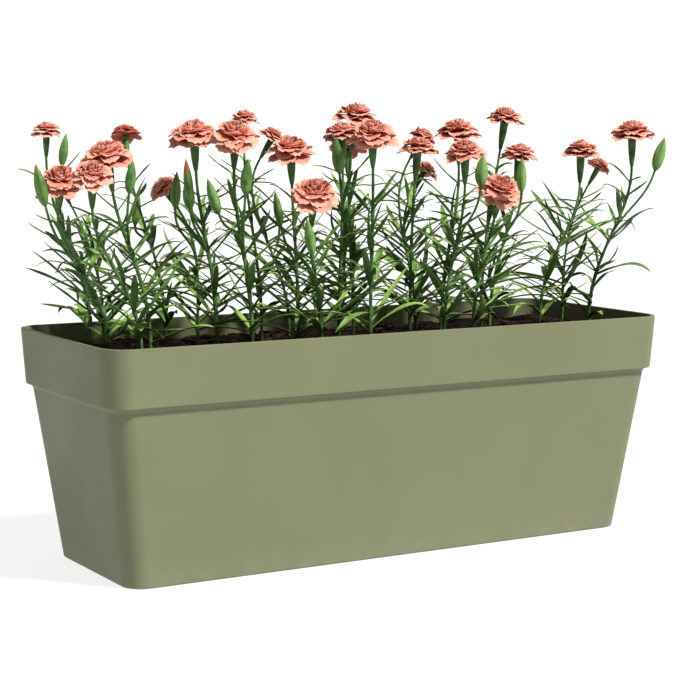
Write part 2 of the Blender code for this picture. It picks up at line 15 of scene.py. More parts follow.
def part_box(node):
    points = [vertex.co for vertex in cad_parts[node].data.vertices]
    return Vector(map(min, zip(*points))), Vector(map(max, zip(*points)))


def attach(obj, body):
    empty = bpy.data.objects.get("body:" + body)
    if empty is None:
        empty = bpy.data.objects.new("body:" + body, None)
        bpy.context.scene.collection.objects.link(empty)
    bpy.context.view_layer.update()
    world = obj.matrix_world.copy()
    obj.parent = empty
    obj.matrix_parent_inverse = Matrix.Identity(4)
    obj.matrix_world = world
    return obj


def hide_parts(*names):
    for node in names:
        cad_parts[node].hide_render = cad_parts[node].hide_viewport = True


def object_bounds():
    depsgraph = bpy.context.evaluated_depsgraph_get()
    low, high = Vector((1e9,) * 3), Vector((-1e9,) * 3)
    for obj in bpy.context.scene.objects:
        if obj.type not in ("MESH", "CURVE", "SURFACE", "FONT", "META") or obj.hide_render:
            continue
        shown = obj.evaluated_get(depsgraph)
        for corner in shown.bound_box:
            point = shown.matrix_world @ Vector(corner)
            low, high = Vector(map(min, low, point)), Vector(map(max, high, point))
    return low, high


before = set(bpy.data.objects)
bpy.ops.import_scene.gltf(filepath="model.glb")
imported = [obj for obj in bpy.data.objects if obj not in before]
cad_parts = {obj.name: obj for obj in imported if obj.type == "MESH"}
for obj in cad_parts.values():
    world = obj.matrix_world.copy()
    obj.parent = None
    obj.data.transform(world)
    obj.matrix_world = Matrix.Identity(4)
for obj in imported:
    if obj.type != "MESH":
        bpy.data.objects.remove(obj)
cad_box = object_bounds()

# ---------------------------------------------------------------------------- Camera and studio
# The trough stands on a wide white table that is lit from beneath, so that shadows on it are
# faint. One high soft lamp lights it from the front right. The room is brightest behind it and
# dimmest to the left, so its left end is shaded.

CAMERA_TURN = math.radians(-30.74)
CAMERA_RISE = math.radians(6.913)
CAMERA_ROLL = 0.0034
CAMERA_DISTANCE = 1.8326
CAMERA_AIM = Vector((-0.0008, 0.0005, 0.1892))
CAMERA_LENS = 97.8
LAMP_TURN = math.radians(27)
LAMP_RISE = math.radians(51)
LAMP_STRENGTH = 5.45
LAMP_SOFTNESS = math.radians(6)
ROOM_LIGHT = 0.40
LEFT_ROOM_LIGHT = 0.20
BACKDROP_LIGHT = 1.02

# Where the left room gives way to the rest, as a share of the way to the right, and where the
# backdrop begins, as the cosine of the angle from its middle.
LEFT_ROOM_EDGE = (-0.7, 0.3)
BACKDROP_EDGE = (0.80, 0.92)
FLOOR_SIZE = 160.0
FLOOR_PAPER = (0.14, 0.14, 0.139)
FLOOR_GLOW = 0.84


def direction_of(turn, rise):
    """The direction that a turn from -Y about Z and a rise from the floor point to."""
    level = math.cos(rise)
    return Vector((math.sin(turn) * level, -math.cos(turn) * level, math.sin(rise)))


bpy.ops.object.select_all(action="DESELECT")
camera_back = direction_of(CAMERA_TURN, CAMERA_RISE)
bpy.ops.object.camera_add(location=CAMERA_AIM + camera_back * CAMERA_DISTANCE)
camera = bpy.context.object
camera.rotation_euler = camera_back.to_track_quat("Z", "Y").to_euler()
camera.rotation_euler.rotate_axis("Z", CAMERA_ROLL)
camera.data.lens = CAMERA_LENS
camera.data.clip_start = 0.05
camera.data.clip_end = 150.0
bpy.context.scene.camera = camera
bpy.context.scene.view_settings.view_transform = "Standard"

bpy.ops.object.light_add(type="SUN")
lamp = bpy.context.object
lamp.name = "studio_lamp"
lamp.rotation_euler = direction_of(LAMP_TURN, LAMP_RISE).to_track_quat("Z", "Y").to_euler()
lamp.data.energy = LAMP_STRENGTH
lamp.data.angle = LAMP_SOFTNESS
lamp.data.color = (1.0, 0.98, 0.94)


def add_node(tree, kind, inputs=(), **settings):
    """Adds a node with its settings, and links or sets its inputs."""
    node = tree.nodes.new(kind)
    for key, value in settings.items():
        setattr(node, key, value)
    for key, value in dict(inputs).items():
        wire(tree, value, node.inputs[key])
    return node


def wire(tree, value, socket):
    """Links an output to a socket, or sets the socket's value. A colour may be three numbers."""
    if isinstance(value, bpy.types.NodeSocket):
        tree.links.new(value, socket)
    elif isinstance(value, tuple) and len(value) == 3 and socket.type == "RGBA":
        socket.default_value = (*value, 1.0)
    else:
        socket.default_value = value


def blend(tree, factor, low, high):
    """The output of a mix from one colour to another."""
    mix = tree.nodes.new("ShaderNodeMix")
    mix.data_type = "RGBA"
    wire(tree, factor, mix.inputs[0])
    wire(tree, low, mix.inputs[6])
    wire(tree, high, mix.inputs[7])
    return mix.outputs[2]


def ramp(tree, value, low, high, to_low=0.0, to_high=1.0):
    """Maps value from one range onto another, clamped and smooth."""
    inputs = {0: value, 1: low, 2: high, 3: to_low, 4: to_high}
    return add_node(tree, "ShaderNodeMapRange", inputs, interpolation_type="SMOOTHSTEP").outputs[0]


studio = bpy.data.worlds.new("studio")
bpy.context.scene.world = studio
studio.use_nodes = True
tree = studio.node_tree
looking = add_node(tree, "ShaderNodeTexCoord").outputs["Generated"]
away = (-camera_back.x, -camera_back.y, 0.0)
facing = add_node(tree, "ShaderNodeVectorMath", {0: looking, 1: away}, operation="DOT_PRODUCT")
to_right = add_node(tree, "ShaderNodeSeparateXYZ", {0: looking}).outputs[0]
around = ramp(tree, to_right, *LEFT_ROOM_EDGE, LEFT_ROOM_LIGHT, ROOM_LIGHT)
glow = ramp(tree, facing.outputs["Value"], *BACKDROP_EDGE, around, BACKDROP_LIGHT)
tree.nodes["Background"].inputs["Color"].default_value = (1.0, 1.0, 1.0, 1.0)
tree.links.new(glow, tree.nodes["Background"].inputs["Strength"])

bpy.ops.mesh.primitive_plane_add(size=FLOOR_SIZE)
floor = bpy.context.object
floor.name = "floor"
floor_paper = bpy.data.materials.new("floor_paper")
floor_paper.use_nodes = True
floor_shader = floor_paper.node_tree.nodes["Principled BSDF"]
floor_shader.inputs["Base Color"].default_value = (*FLOOR_PAPER, 1.0)
floor_shader.inputs["Roughness"].default_value = 0.9
floor_shader.inputs["Emission Color"].default_value = (1.0, 1.0, 1.0, 1.0)
floor_shader.inputs["Emission Strength"].default_value = FLOOR_GLOW
floor.data.materials.append(floor_paper)

# ------------------------------------------------------------------------------------- Trough
# A trough of thin moulded plastic in satin sage green. Its walls flare up from the base to a
# deep collar, which stands out over a small rounded step and ends in a thin rounded lip.

planter_low, planter_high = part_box("planter")
RIM = tuple(round(planter_high[i] - planter_low[i], 4) for i in range(2))
HEIGHT = round(planter_high[2], 4)
BASE = (0.541, 0.168)
COLLAR_HEIGHT = 0.052
COLLAR_TAPER = 0.003
COLLAR_STEP = 0.0055
WALL = 0.003
FLOOR = 0.004
BASE_RADIUS = 0.019
RIM_RADIUS = 0.025
CORNER_SEGMENTS = 14
DRAIN_PLACES = [-0.200, -0.070, 0.070, 0.200]
DRAIN_RADIUS = 0.006
SAGE_DARK = (0.153, 0.165, 0.090)
SAGE_LIGHT = (0.165, 0.177, 0.098)
SAGE_DUST = (0.215, 0.212, 0.155)


def new_object(name):
    """Renames the object an operator has just made, and gives it back."""
    made = bpy.context.object
    made.name = name
    made.data.name = name
    return made


def select_only(obj):
    """Makes obj the only object selected, and the active one."""
    bpy.ops.object.select_all(action="DESELECT")
    obj.select_set(True)
    bpy.context.view_layer.objects.active = obj


def apply_modifiers(obj):
    """Applies every modifier of obj, in order."""
    select_only(obj)
    for modifier in list(obj.modifiers):
        bpy.ops.object.modifier_apply(modifier=modifier.name)


def grown(size, each_side):
    """A (length, depth) made larger by the same amount on each side."""
    return (size[0] + 2 * each_side, size[1] + 2 * each_side)


def extrude_through(size, height, profile):
    """Extrudes the selected outline of this size up through the sizes and heights of a profile."""
    for next_size, next_height in profile:
        bpy.ops.mesh.extrude_region_move(TRANSFORM_OT_translate={"value": (0.0, 0.0, next_height - height)})
        stretch = (next_size[0] / size[0], next_size[1] / size[1], 1.0)
        bpy.ops.transform.resize(value=stretch, center_override=(0.0, 0.0, next_height))
        size, height = next_size, next_height


collar_foot = HEIGHT - COLLAR_HEIGHT
low_collar = grown(RIM, -COLLAR_TAPER)
under_collar = grown(low_collar, -COLLAR_STEP)
first_outline = grown(BASE, -0.0022)

# Up the outside, over the lip and down the inside to the floor.
trough_profile = [
    (grown(BASE, -0.0010), 0.0003),
    (grown(BASE, -0.0002), 0.0011),
    (BASE, 0.0022),
    (under_collar, collar_foot - 0.0048),
    (grown(under_collar, 0.0006), collar_foot - 0.0028),
    (grown(under_collar, 0.0018), collar_foot - 0.0012),
    (grown(under_collar, 0.0034), collar_foot - 0.0004),
    (grown(low_collar, -0.0008), collar_foot),
    (grown(low_collar, -0.0002), collar_foot + 0.0004),
    (low_collar, collar_foot + 0.0012),
    (RIM, HEIGHT - 0.0010),
    (grown(RIM, -0.0002), HEIGHT - 0.0004),
    (grown(RIM, -0.0008), HEIGHT),
    (grown(RIM, 0.0008 - WALL), HEIGHT),
    (grown(RIM, 0.0002 - WALL), HEIGHT - 0.0004),
    (grown(RIM, -WALL), HEIGHT - 0.0010),
    (grown(low_collar, -WALL), collar_foot + 0.0030),
    (grown(under_collar, -WALL), collar_foot - 0.0020),
    (grown(BASE, -WALL), FLOOR + 0.0030),
    (grown(BASE, -WALL - 0.0030), FLOOR),
]

bpy.ops.object.select_all(action="DESELECT")
bpy.ops.mesh.primitive_plane_add(size=1.0)
trough = new_object("trough")
bpy.ops.object.mode_set(mode="EDIT")
bpy.ops.transform.resize(value=(*first_outline, 1.0))
bpy.ops.mesh.bevel(offset=BASE_RADIUS, segments=CORNER_SEGMENTS, affect="VERTICES")
extrude_through(first_outline, 0.0, trough_profile)
bpy.ops.mesh.select_all(action="SELECT")
bpy.ops.mesh.normals_make_consistent(inside=False)
bpy.ops.object.mode_set(mode="OBJECT")

drills = []
for x in DRAIN_PLACES:
    bpy.ops.object.select_all(action="DESELECT")
    bpy.ops.mesh.primitive_cylinder_add(
        vertices=24, radius=DRAIN_RADIUS, depth=4 * FLOOR, location=(x, 0.0, 0.0)
    )
    drills.append(bpy.context.object)
bpy.ops.object.select_all(action="DESELECT")
for drill in drills:
    drill.select_set(True)
bpy.context.view_layer.objects.active = drills[0]
bpy.ops.object.join()
drain_holes = trough.modifiers.new("drain_holes", "BOOLEAN")
drain_holes.operation = "DIFFERENCE"
drain_holes.object = drills[0]
apply_modifiers(trough)
bpy.data.objects.remove(drills[0])
bpy.ops.object.shade_smooth_by_angle(angle=math.radians(35))

# The large flat walls keep their own shading right up to the small roundings beside them.
flat_walls = trough.modifiers.new("flat_walls", "WEIGHTED_NORMAL")
flat_walls.keep_sharp = True
apply_modifiers(trough)


def new_group(name, inputs, outputs):
    """An empty node group with these sockets, as (name, kind), and its two end nodes."""
    group = bpy.data.node_groups.new(name, "ShaderNodeTree")
    for socket, kind in inputs:
        group.interface.new_socket(socket, in_out="INPUT", socket_type=f"NodeSocket{kind}")
    for socket, kind in outputs:
        group.interface.new_socket(socket, in_out="OUTPUT", socket_type=f"NodeSocket{kind}")
    return group, group.nodes.new("NodeGroupInput").outputs, group.nodes.new("NodeGroupOutput").inputs


# Mottle: soft patches of two colours over a surface, and the mask of the lighter ones.
mottle, given, result = new_group(
    "mottle",
    [("Place", "Vector"), ("Scale", "Float"), ("Detail", "Float"), ("Dark", "Color"), ("Light", "Color")],
    [("Colour", "Color"), ("Light Patches", "Float")],
)
inputs = {"Vector": given["Place"], "Scale": given["Scale"], "Detail": given["Detail"], "Roughness": 0.6}
patches = ramp(mottle, add_node(mottle, "ShaderNodeTexNoise", inputs).outputs[0], 0.32, 0.68)
mottle.links.new(blend(mottle, patches, given["Dark"], given["Light"]), result["Colour"])
mottle.links.new(patches, result["Light Patches"])

# Fine relief: the grain, pores or fibres that break up a surface's shine.
fine_relief, given, result = new_group(
    "fine_relief",
    [("Place", "Vector"), ("Scale", "Float"), ("Detail", "Float"), ("Strength", "Float"), ("Depth", "Float")],
    [("Normal", "Vector")],
)
inputs = {"Vector": given["Place"], "Scale": given["Scale"], "Detail": given["Detail"], "Roughness": 0.65}
relief = add_node(fine_relief, "ShaderNodeTexNoise", inputs).outputs[0]
inputs = {"Strength": given["Strength"], "Distance": given["Depth"], "Height": relief}
fine_relief.links.new(add_node(fine_relief, "ShaderNodeBump", inputs).outputs[0], result["Normal"])


def new_material(name):
    """A material with its node tree, its shader and an object's own coordinates."""
    made = bpy.data.materials.new(name)
    made.use_nodes = True
    coords = add_node(made.node_tree, "ShaderNodeTexCoord").outputs["Object"]
    return made, made.node_tree, made.node_tree.nodes["Principled BSDF"], coords


def mottled(tree, place, scale, detail, dark, light):
    """The outputs of a mottle: its colour and its mask."""
    inputs = {"Place": place, "Scale": scale, "Detail": detail, "Dark": dark, "Light": light}
    node = add_node(tree, "ShaderNodeGroup", inputs, node_tree=mottle)
    return node.outputs["Colour"], node.outputs["Light Patches"]


def roughen(tree, shader, place, scale, detail, strength, depth):
    """Gives a shader its fine relief."""
    inputs = {"Place": place, "Scale": scale, "Detail": detail, "Strength": strength, "Depth": depth}
    node = add_node(tree, "ShaderNodeGroup", inputs, node_tree=fine_relief)
    tree.links.new(node.outputs["Normal"], shader.inputs["Normal"])


# Moulded plastic: a satin skin with a faint grain, a little cloudiness and dust near the floor.
sage_plastic, tree, shader, coords = new_material("sage_plastic")
colour, cloud = mottled(tree, coords, 7.0, 3.0, SAGE_DARK, SAGE_LIGHT)
height_above = add_node(tree, "ShaderNodeSeparateXYZ", {0: coords}).outputs[2]
_, dusty = mottled(tree, coords, 55.0, 4.0, SAGE_DARK, SAGE_LIGHT)
low_down = ramp(tree, height_above, 0.0, 0.030, 0.40, 0.0)
dust = add_node(tree, "ShaderNodeMath", {0: low_down, 1: dusty}, operation="MULTIPLY").outputs[0]
tree.links.new(blend(tree, dust, colour, SAGE_DUST), shader.inputs["Base Color"])
tree.links.new(ramp(tree, cloud, 0.0, 1.0, 0.46, 0.56), shader.inputs["Roughness"])
roughen(tree, shader, coords, 1300.0, 2.0, 0.12, 0.0003)
shader.inputs["Specular IOR Level"].default_value = 0.35
trough.data.materials.append(sage_plastic)
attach(trough, "root")
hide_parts("planter")

# --------------------------------------------------------------------------------------- Soil
# Dark crumbly potting soil with bark and peat in it. It fills the trough to just under the
# collar's lip, crowned a little along the middle, with loose crumbs and chips on top.

SOIL_LEVEL = 0.198
SOIL_GAP = 0.0006
SOIL_CELLS = (150, 56)
CLOD_SIZES = [(0.0026, 85), (0.0014, 230)]
CRUMBS = 720
CRUMB_SPREAD = (0.288, 0.100)
CRUMB_SIZES = (0.0010, 0.0023)
CRUMB_TILT = 0.4
CHIP_SHARE = 0.12
CHIP_GROWTH = 1.9
SOIL_DARK = (0.010, 0.0050, 0.0034)
SOIL_LIGHT = (0.040, 0.0180, 0.0110)
BARK_RED = (0.085, 0.026, 0.014)


def soil_height(x, y):
    """The level of the soil's crumbly top."""
    crown = 0.003 * math.cos(math.pi * y / RIM[1])
    swell = 0.0016 * math.sin(31 * x + 1.3) * math.cos(47 * y + 0.4)
    lumps = 0.0013 * math.sin(97 * x + 61 * y) + 0.0009 * math.cos(143 * x - 88 * y)
    return SOIL_LEVEL - 0.002 + crown + swell + lumps


bpy.ops.object.select_all(action="DESELECT")
bpy.ops.mesh.primitive_plane_add(size=1.0)
soil = new_object("soil_bed")
bpy.ops.object.mode_set(mode="EDIT")
soil_floor = grown(BASE, -WALL - 0.0030 - SOIL_GAP)
bpy.ops.transform.translate(value=(0.0, 0.0, FLOOR + SOIL_GAP))
bpy.ops.transform.resize(value=(*soil_floor, 1.0), center_override=(0.0, 0.0, FLOOR + SOIL_GAP))
bpy.ops.mesh.bevel(offset=BASE_RADIUS - WALL, segments=CORNER_SEGMENTS, affect="VERTICES")
soil_profile = [
    (grown(BASE, -WALL - SOIL_GAP), FLOOR + 0.0030 + SOIL_GAP),
    (grown(under_collar, -WALL - SOIL_GAP), collar_foot - 0.0020 + SOIL_GAP),
    (grown(low_collar, -WALL - SOIL_GAP), collar_foot + 0.0030 + SOIL_GAP),
    (grown(RIM, -WALL - SOIL_GAP), HEIGHT),
]
extrude_through(soil_floor, FLOOR + SOIL_GAP, soil_profile)
bpy.ops.mesh.select_all(action="SELECT")
bpy.ops.mesh.normals_make_consistent(inside=False)
bpy.ops.object.mode_set(mode="OBJECT")

bpy.ops.object.select_all(action="DESELECT")
bpy.ops.mesh.primitive_grid_add(x_subdivisions=SOIL_CELLS[0], y_subdivisions=SOIL_CELLS[1], size=2.0)
air = bpy.context.object
for vertex in air.data.vertices:
    x, y = vertex.co.x * (RIM[0] / 2 + 0.01), vertex.co.y * (RIM[1] / 2 + 0.01)
    clods = sum(lift * noise.noise(Vector((x, y, lift * 200)) * scale) for lift, scale in CLOD_SIZES)
    vertex.co = (x, y, soil_height(x, y) + clods - 0.0006)
bpy.ops.object.mode_set(mode="EDIT")
bpy.ops.mesh.select_all(action="SELECT")
bpy.ops.mesh.extrude_region_move(TRANSFORM_OT_translate={"value": (0.0, 0.0, 0.06)})
bpy.ops.mesh.select_all(action="SELECT")
bpy.ops.mesh.normals_make_consistent(inside=False)
bpy.ops.object.mode_set(mode="OBJECT")
level_off = soil.modifiers.new("level_off", "BOOLEAN")
level_off.operation = "DIFFERENCE"
level_off.object = air
apply_modifiers(soil)
bpy.data.objects.remove(air)
bpy.ops.object.shade_smooth_by_angle(angle=math.radians(40))

# Potting soil: dark brown, mottled with peat, with red bark dust and a rough broken surface.
soil_earth, tree, shader, coords = new_material("soil_earth")
colour, peat = mottled(tree, coords, 75.0, 6.0, SOIL_DARK, SOIL_LIGHT)
_, bark = mottled(tree, coords, 230.0, 4.0, SOIL_DARK, SOIL_LIGHT)
colour = blend(tree, ramp(tree, bark, 0.80, 1.0), colour, BARK_RED)
tree.links.new(colour, shader.inputs["Base Color"])
tree.links.new(ramp(tree, peat, 0.0, 1.0, 0.98, 0.86), shader.inputs["Roughness"])
roughen(tree, shader, coords, 260.0, 6.0, 0.8, 0.002)
shader.inputs["Specular IOR Level"].default_value = 0.1
soil.data.materials.append(soil_earth)
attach(soil, "root")
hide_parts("soil")


def blank_of(obj):
    """The points and faces of a shape that is to be copied. The shape itself is removed."""
    points = np.array([vertex.co for vertex in obj.data.vertices])
    faces = [tuple(face.vertices) for face in obj.data.polygons]
    bpy.data.objects.remove(obj)
    return points, faces


def joined_copies(name, blocks, smooth):
    """One object from copies of blanks, each as (points, faces, {attribute: value or values}). All
    copies have the same attributes."""
    faces = []
    start = 0
    for points, block_faces, _ in blocks:
        faces += [tuple(start + i for i in face) for face in block_faces]
        start += len(points)
    mesh = bpy.data.meshes.new(name)
    mesh.from_pydata(np.concatenate([points for points, _, _ in blocks]).tolist(), [], faces)
    for key in blocks[0][2]:
        values = [np.broadcast_to(np.asarray(marks[key], float), len(points)) for points, _, marks in blocks]
        layer = mesh.attributes.new(key, "FLOAT", "POINT")
        layer.data.foreach_set("value", np.concatenate(values).astype(np.float32))
    made = bpy.data.objects.new(name, mesh)
    bpy.context.scene.collection.objects.link(made)
    select_only(made)
    bpy.ops.object.mode_set(mode="EDIT")
    bpy.ops.mesh.select_all(action="SELECT")
    bpy.ops.mesh.normals_make_consistent(inside=False)
    bpy.ops.object.mode_set(mode="OBJECT")
    if smooth:
        bpy.ops.object.shade_smooth_by_angle(angle=math.radians(60))
    return made


def mark(tree, name):
    """A piece's own attribute, as a number."""
    return add_node(tree, "ShaderNodeAttribute", attribute_name=name).outputs["Fac"]


# Loose crumbs and chips of bark, from 2 to 9 mm, half sunk in the soil.
bpy.ops.object.select_all(action="DESELECT")
bpy.ops.mesh.primitive_ico_sphere_add(subdivisions=1, radius=1.0)
crumb_points, crumb_faces = blank_of(bpy.context.object)
draw = random.Random(5)
crumbs = []
for _ in range(CRUMBS):
    x, y = (draw.uniform(-reach, reach) for reach in CRUMB_SPREAD)
    size = draw.uniform(*CRUMB_SIZES) * (CHIP_GROWTH if draw.random() < CHIP_SHARE else 1.0)
    spun = Matrix.Rotation(draw.uniform(0, math.tau), 3, "Z")
    turned = spun @ Matrix.Rotation(draw.uniform(-CRUMB_TILT, CRUMB_TILT), 3, "X")
    stretch = size * np.array([draw.uniform(1.0, 2.1), draw.uniform(0.7, 1.1), draw.uniform(0.4, 0.8)])
    broken = crumb_points * stretch * np.array([[draw.uniform(0.7, 1.15)] for _ in crumb_points])
    placed = broken @ np.array(turned).T + [x, y, soil_height(x, y) + 0.2 * size]
    crumbs.append((placed, crumb_faces, {"crumb_tint": draw.random()}))
soil_crumbs = joined_copies("soil_crumbs", crumbs, smooth=False)

bark_chips, tree, shader, coords = new_material("bark_chips")
tint = mark(tree, "crumb_tint")
colour, fibres = mottled(tree, coords, 500.0, 4.0, SOIL_DARK, SOIL_LIGHT)
colour = blend(tree, ramp(tree, tint, 0.45, 1.0, 0.0, 0.9), colour, BARK_RED)
tree.links.new(colour, shader.inputs["Base Color"])
tree.links.new(ramp(tree, fibres, 0.0, 1.0, 0.95, 0.82), shader.inputs["Roughness"])
roughen(tree, shader, coords, 900.0, 4.0, 0.5, 0.001)
shader.inputs["Specular IOR Level"].default_value = 0.1
soil_crumbs.data.materials.append(bark_chips)
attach(soil_crumbs, "root")

# --------------------------------------------------------------------------- Stems and leaves
# Carnations grow on thin jointed stems of grey-green. At each joint two long narrow keeled
# leaves clasp the stem and arch out. Under the bloom the stem swells into a tapering calyx.

STEM_RADIUS = 0.0020
SHOOT_RADIUS = 0.0013
STEM_STEPS = 4
STEM_DEPTH = 0.026
CALYX_LENGTH = 0.030
BLOOM_GAP = 0.0004
SMALL_BLOOM = 0.0345
LEAF_STEPS = 3
LEAF_TRIES = 40
CLEARANCE = 0.0014
SAMPLE_STEP = 0.005

# Pairs of leaves, from the lowest up: how far up the stem, then the least and most of a leaf's
# length, width, lift along the stem and droop.
LEAF_PAIRS = [
    (0.05, (0.052, 0.078), (0.0058, 0.0078), (0.35, 1.00), (0.15, 0.45)),
    (0.26, (0.066, 0.100), (0.0054, 0.0074), (0.35, 1.10), (0.02, 0.35)),
    (0.48, (0.058, 0.090), (0.0048, 0.0068), (0.40, 1.20), (0.02, 0.30)),
    (0.70, (0.042, 0.068), (0.0038, 0.0052), (0.60, 1.50), (0.00, 0.20)),
]

# How far leaf tips may stand out from the middle at LEAF_SPREAD_LEVEL, and how fast that grows
# with their height.
LEAF_SPREAD = (0.290, 0.128)
LEAF_SPREAD_LEVEL = 0.250
LEAF_SPREAD_SLOPE = 0.45

# Blooms stand on a plan of steps along the trough, rows from its front and tiers up from the
# lowest, and the seeded rule below strays a little from it. A plant's foot is nearer the trough's
# middle than its bloom is, so that the plants spread.
PLACE_STEP = 0.020
FRONT_ROW = -0.078
ROW_STEP = 0.052
LOWEST_TIER = HEIGHT + 0.126
TIER_STEP = 0.017
PLANT_STRAY = 0.004
FOOT_STRAY = 0.006
FOOT_SHARE = 0.85
PLANT_TRIES = 80
PLANT_CLEARANCE = 0.002
BLOOM_SIZES = {"opening": 0.021, "small": 0.030, "medium": 0.040, "large": 0.048}

# How far a bloom's face leans from straight up, as the (x, y) part of a unit direction.
FACINGS = {
    "up": (0.00, -0.08),
    "tilted": (-0.18, -0.25),
    "front": (-0.15, -0.50),
    "left": (-0.60, -0.10),
    "right": (0.42, -0.20),
    "back": (0.12, 0.38),
}

# Each plant, from the left end to the right: its bloom's step from the trough's middle, its row,
# its tier, the bloom's size and the way it faces.
PLANTING_PLAN = [
    (-15, 2, 3, "small", "up"),
    (-13, 1, 2, "large", "tilted"),
    (-15, 1, 1, "medium", "front"),
    (-15, 0, 1, "medium", "front"),
    (-13, 3, 0, "opening", "left"),
    (-10, 3, 3, "small", "back"),
    (-9, 2, 0, "small", "left"),
    (-9, 1, 3, "large", "tilted"),
    (-8, 0, 3, "large", "front"),
    (-5, 2, 4, "small", "up"),
    (-2, 3, 3, "small", "right"),
    (-4, 1, 2, "large", "tilted"),
    (-4, 0, 0, "large", "front"),
    (1, 2, 4, "large", "up"),
    (-1, 0, 3, "large", "tilted"),
    (-1, 1, 3, "medium", "up"),
    (2, 3, 2, "medium", "back"),
    (5, 2, 3, "small", "right"),
    (3, 1, 2, "medium", "up"),
    (7, 3, 1, "small", "right"),
    (7, 2, 3, "large", "up"),
    (4, 0, 2, "medium", "tilted"),
    (10, 2, 4, "medium", "up"),
    (9, 1, 2, "medium", "up"),
    (6, 0, 0, "large", "front"),
    (13, 1, 2, "medium", "up"),
    (16, 2, 1, "small", "right"),
    (16, 1, 3, "large", "up"),
]

# Closed buds on side shoots: the plant's number, then how many steps to the right of its bloom
# and how many tiers below it the bud's tip stands. Each try stands further to the front.
SHOOT_PLAN = [
    (0, 1, 0), (1, 1, 0), (2, -3, -1), (5, 1, 3), (6, 0, -1),
    (7, -1, 2), (7, -2, 1), (8, -3, 2), (8, 1, 1), (11, -2, 2),
    (12, -2, 1), (15, -2, 0), (21, 0, 0), (24, 0, -2), (27, 2, 0),
]
ASIDE_STEP = 0.010
BUD_LENGTH = 0.034
BUD_RADIUS = 0.007
BUD_FORWARD = 0.006
BUD_FORWARD_STEP = 0.002
BUD_TRIES = 24
SHOOT_SHARES = (0.38, 0.56)


def curve_at(corners, t):
    """Points and directions of a cubic curve with these four corners, at each of the shares t."""
    a, b, c, d = (np.array(corner, float) for corner in corners)
    t = t[:, None]
    points = (1 - t) ** 3 * a + 3 * (1 - t) ** 2 * t * b + 3 * (1 - t) * t**2 * c + t**3 * d
    slopes = 3 * (1 - t) ** 2 * (b - a) + 6 * (1 - t) * t * (c - b) + 3 * t**2 * (d - c)
    return points, slopes / np.linalg.norm(slopes, axis=1)[:, None]


def bezier(corners, steps):
    """Points at even shares along a cubic curve."""
    return curve_at(corners, np.linspace(0.0, 1.0, steps + 1))[0]


def face_of(plant):
    """The direction that a plant's bloom faces."""
    lean_x, lean_y = plant[3]
    return np.array([lean_x, lean_y, math.sqrt(1 - lean_x**2 - lean_y**2)])


def calyx_scale(plant):
    """How much smaller than a full one the plant's calyx is."""
    return min(1.0, plant[2] / 0.040)


def stem_radius(plant):
    """A stem's thickness, which goes with the size of its bloom."""
    return STEM_RADIUS * min(1.0, 0.45 + 0.55 * plant[2] / 0.045)


def stem_path(plant, steps=STEM_STEPS):
    """A stem's middle line, from the soil to the bottom of its calyx."""
    (x, y), head, _, _ = plant
    face = face_of(plant)
    top = np.array(head) - face * (CALYX_LENGTH * calyx_scale(plant) + BLOOM_GAP)
    start = np.array([x, y, soil_height(x, y) + 0.006])
    reach = np.linalg.norm(top - start)
    rise = np.array([0.0, 0.0, 1.0])
    return bezier((start, start + 0.45 * reach * rise, top - 0.33 * reach * face, top), steps)


def point_along(path, share):
    """The point at a share of a path's length, and the path's direction there."""
    lengths = np.concatenate([[0], np.cumsum(np.linalg.norm(np.diff(path, axis=0), axis=1))])
    place = share * lengths[-1]
    i = min(int(np.searchsorted(lengths, place, side="right")) - 1, len(path) - 2)
    part = (place - lengths[i]) / (lengths[i + 1] - lengths[i])
    step = path[i + 1] - path[i]
    return path[i] + part * step, step / np.linalg.norm(step)


def bud_path(bud, steps=2):
    """A side shoot's middle line from its stem to the bottom of its bud, then to the bud's tip."""
    number, share, bottom, tip = bud
    start, along = point_along(stem_path(PLANTS[number]), share)
    bottom, tip = np.array(bottom), np.array(tip)
    reach = np.linalg.norm(bottom - start)
    up = (tip - bottom) / np.linalg.norm(tip - bottom)
    shoot = bezier((start, start + 0.4 * reach * along, bottom - 0.4 * reach * up, bottom), steps)
    return shoot, tip


def leaf_corners(start, heading, length, droop):
    """The corners of a leaf's curve: out along heading, then over and down by droop."""
    reach = np.array(heading) * length
    fall = np.array([0.0, 0.0, -droop * length])
    bend = start + 0.75 * reach + 0.2 * fall
    return start, start + 0.38 * reach, bend, start + 0.95 * reach + fall


def samples(path):
    """Points at even steps along a path, ends included."""
    length = np.linalg.norm(np.diff(path, axis=0), axis=1).sum()
    count = max(3, math.ceil(length / SAMPLE_STEP))
    return np.array([point_along(path, i / count)[0] for i in range(count + 1)])


# Owners that are no plant: what every plant's leaves and shoots keep clear of, and what is only
# being tried and keeps clear of everything.
ALL_PLANTS = -1
NOT_YET_OWNED = -2


class Room:
    """The space already taken: points with a radius, each belonging to a plant."""

    def __init__(self):
        self.points = np.zeros((0, 3))
        self.radii = np.zeros(0)
        self.owners = np.zeros(0, int)

    def take(self, points, radii, owner):
        """Adds the points of a new piece."""
        count = len(points)
        self.points = np.concatenate([self.points, points])
        self.radii = np.concatenate([self.radii, np.broadcast_to(radii, count)])
        self.owners = np.concatenate([self.owners, np.full(count, owner)])

    def gap(self, points, radii, owner):
        """The least gap from a piece with these radii at its points to what others own."""
        others = self.owners != owner
        apart = np.linalg.norm(points[:, None] - self.points[None, others], axis=2)
        apart = apart - self.radii[None, others] - np.reshape(radii, (-1, 1))
        return apart.min(initial=np.inf)


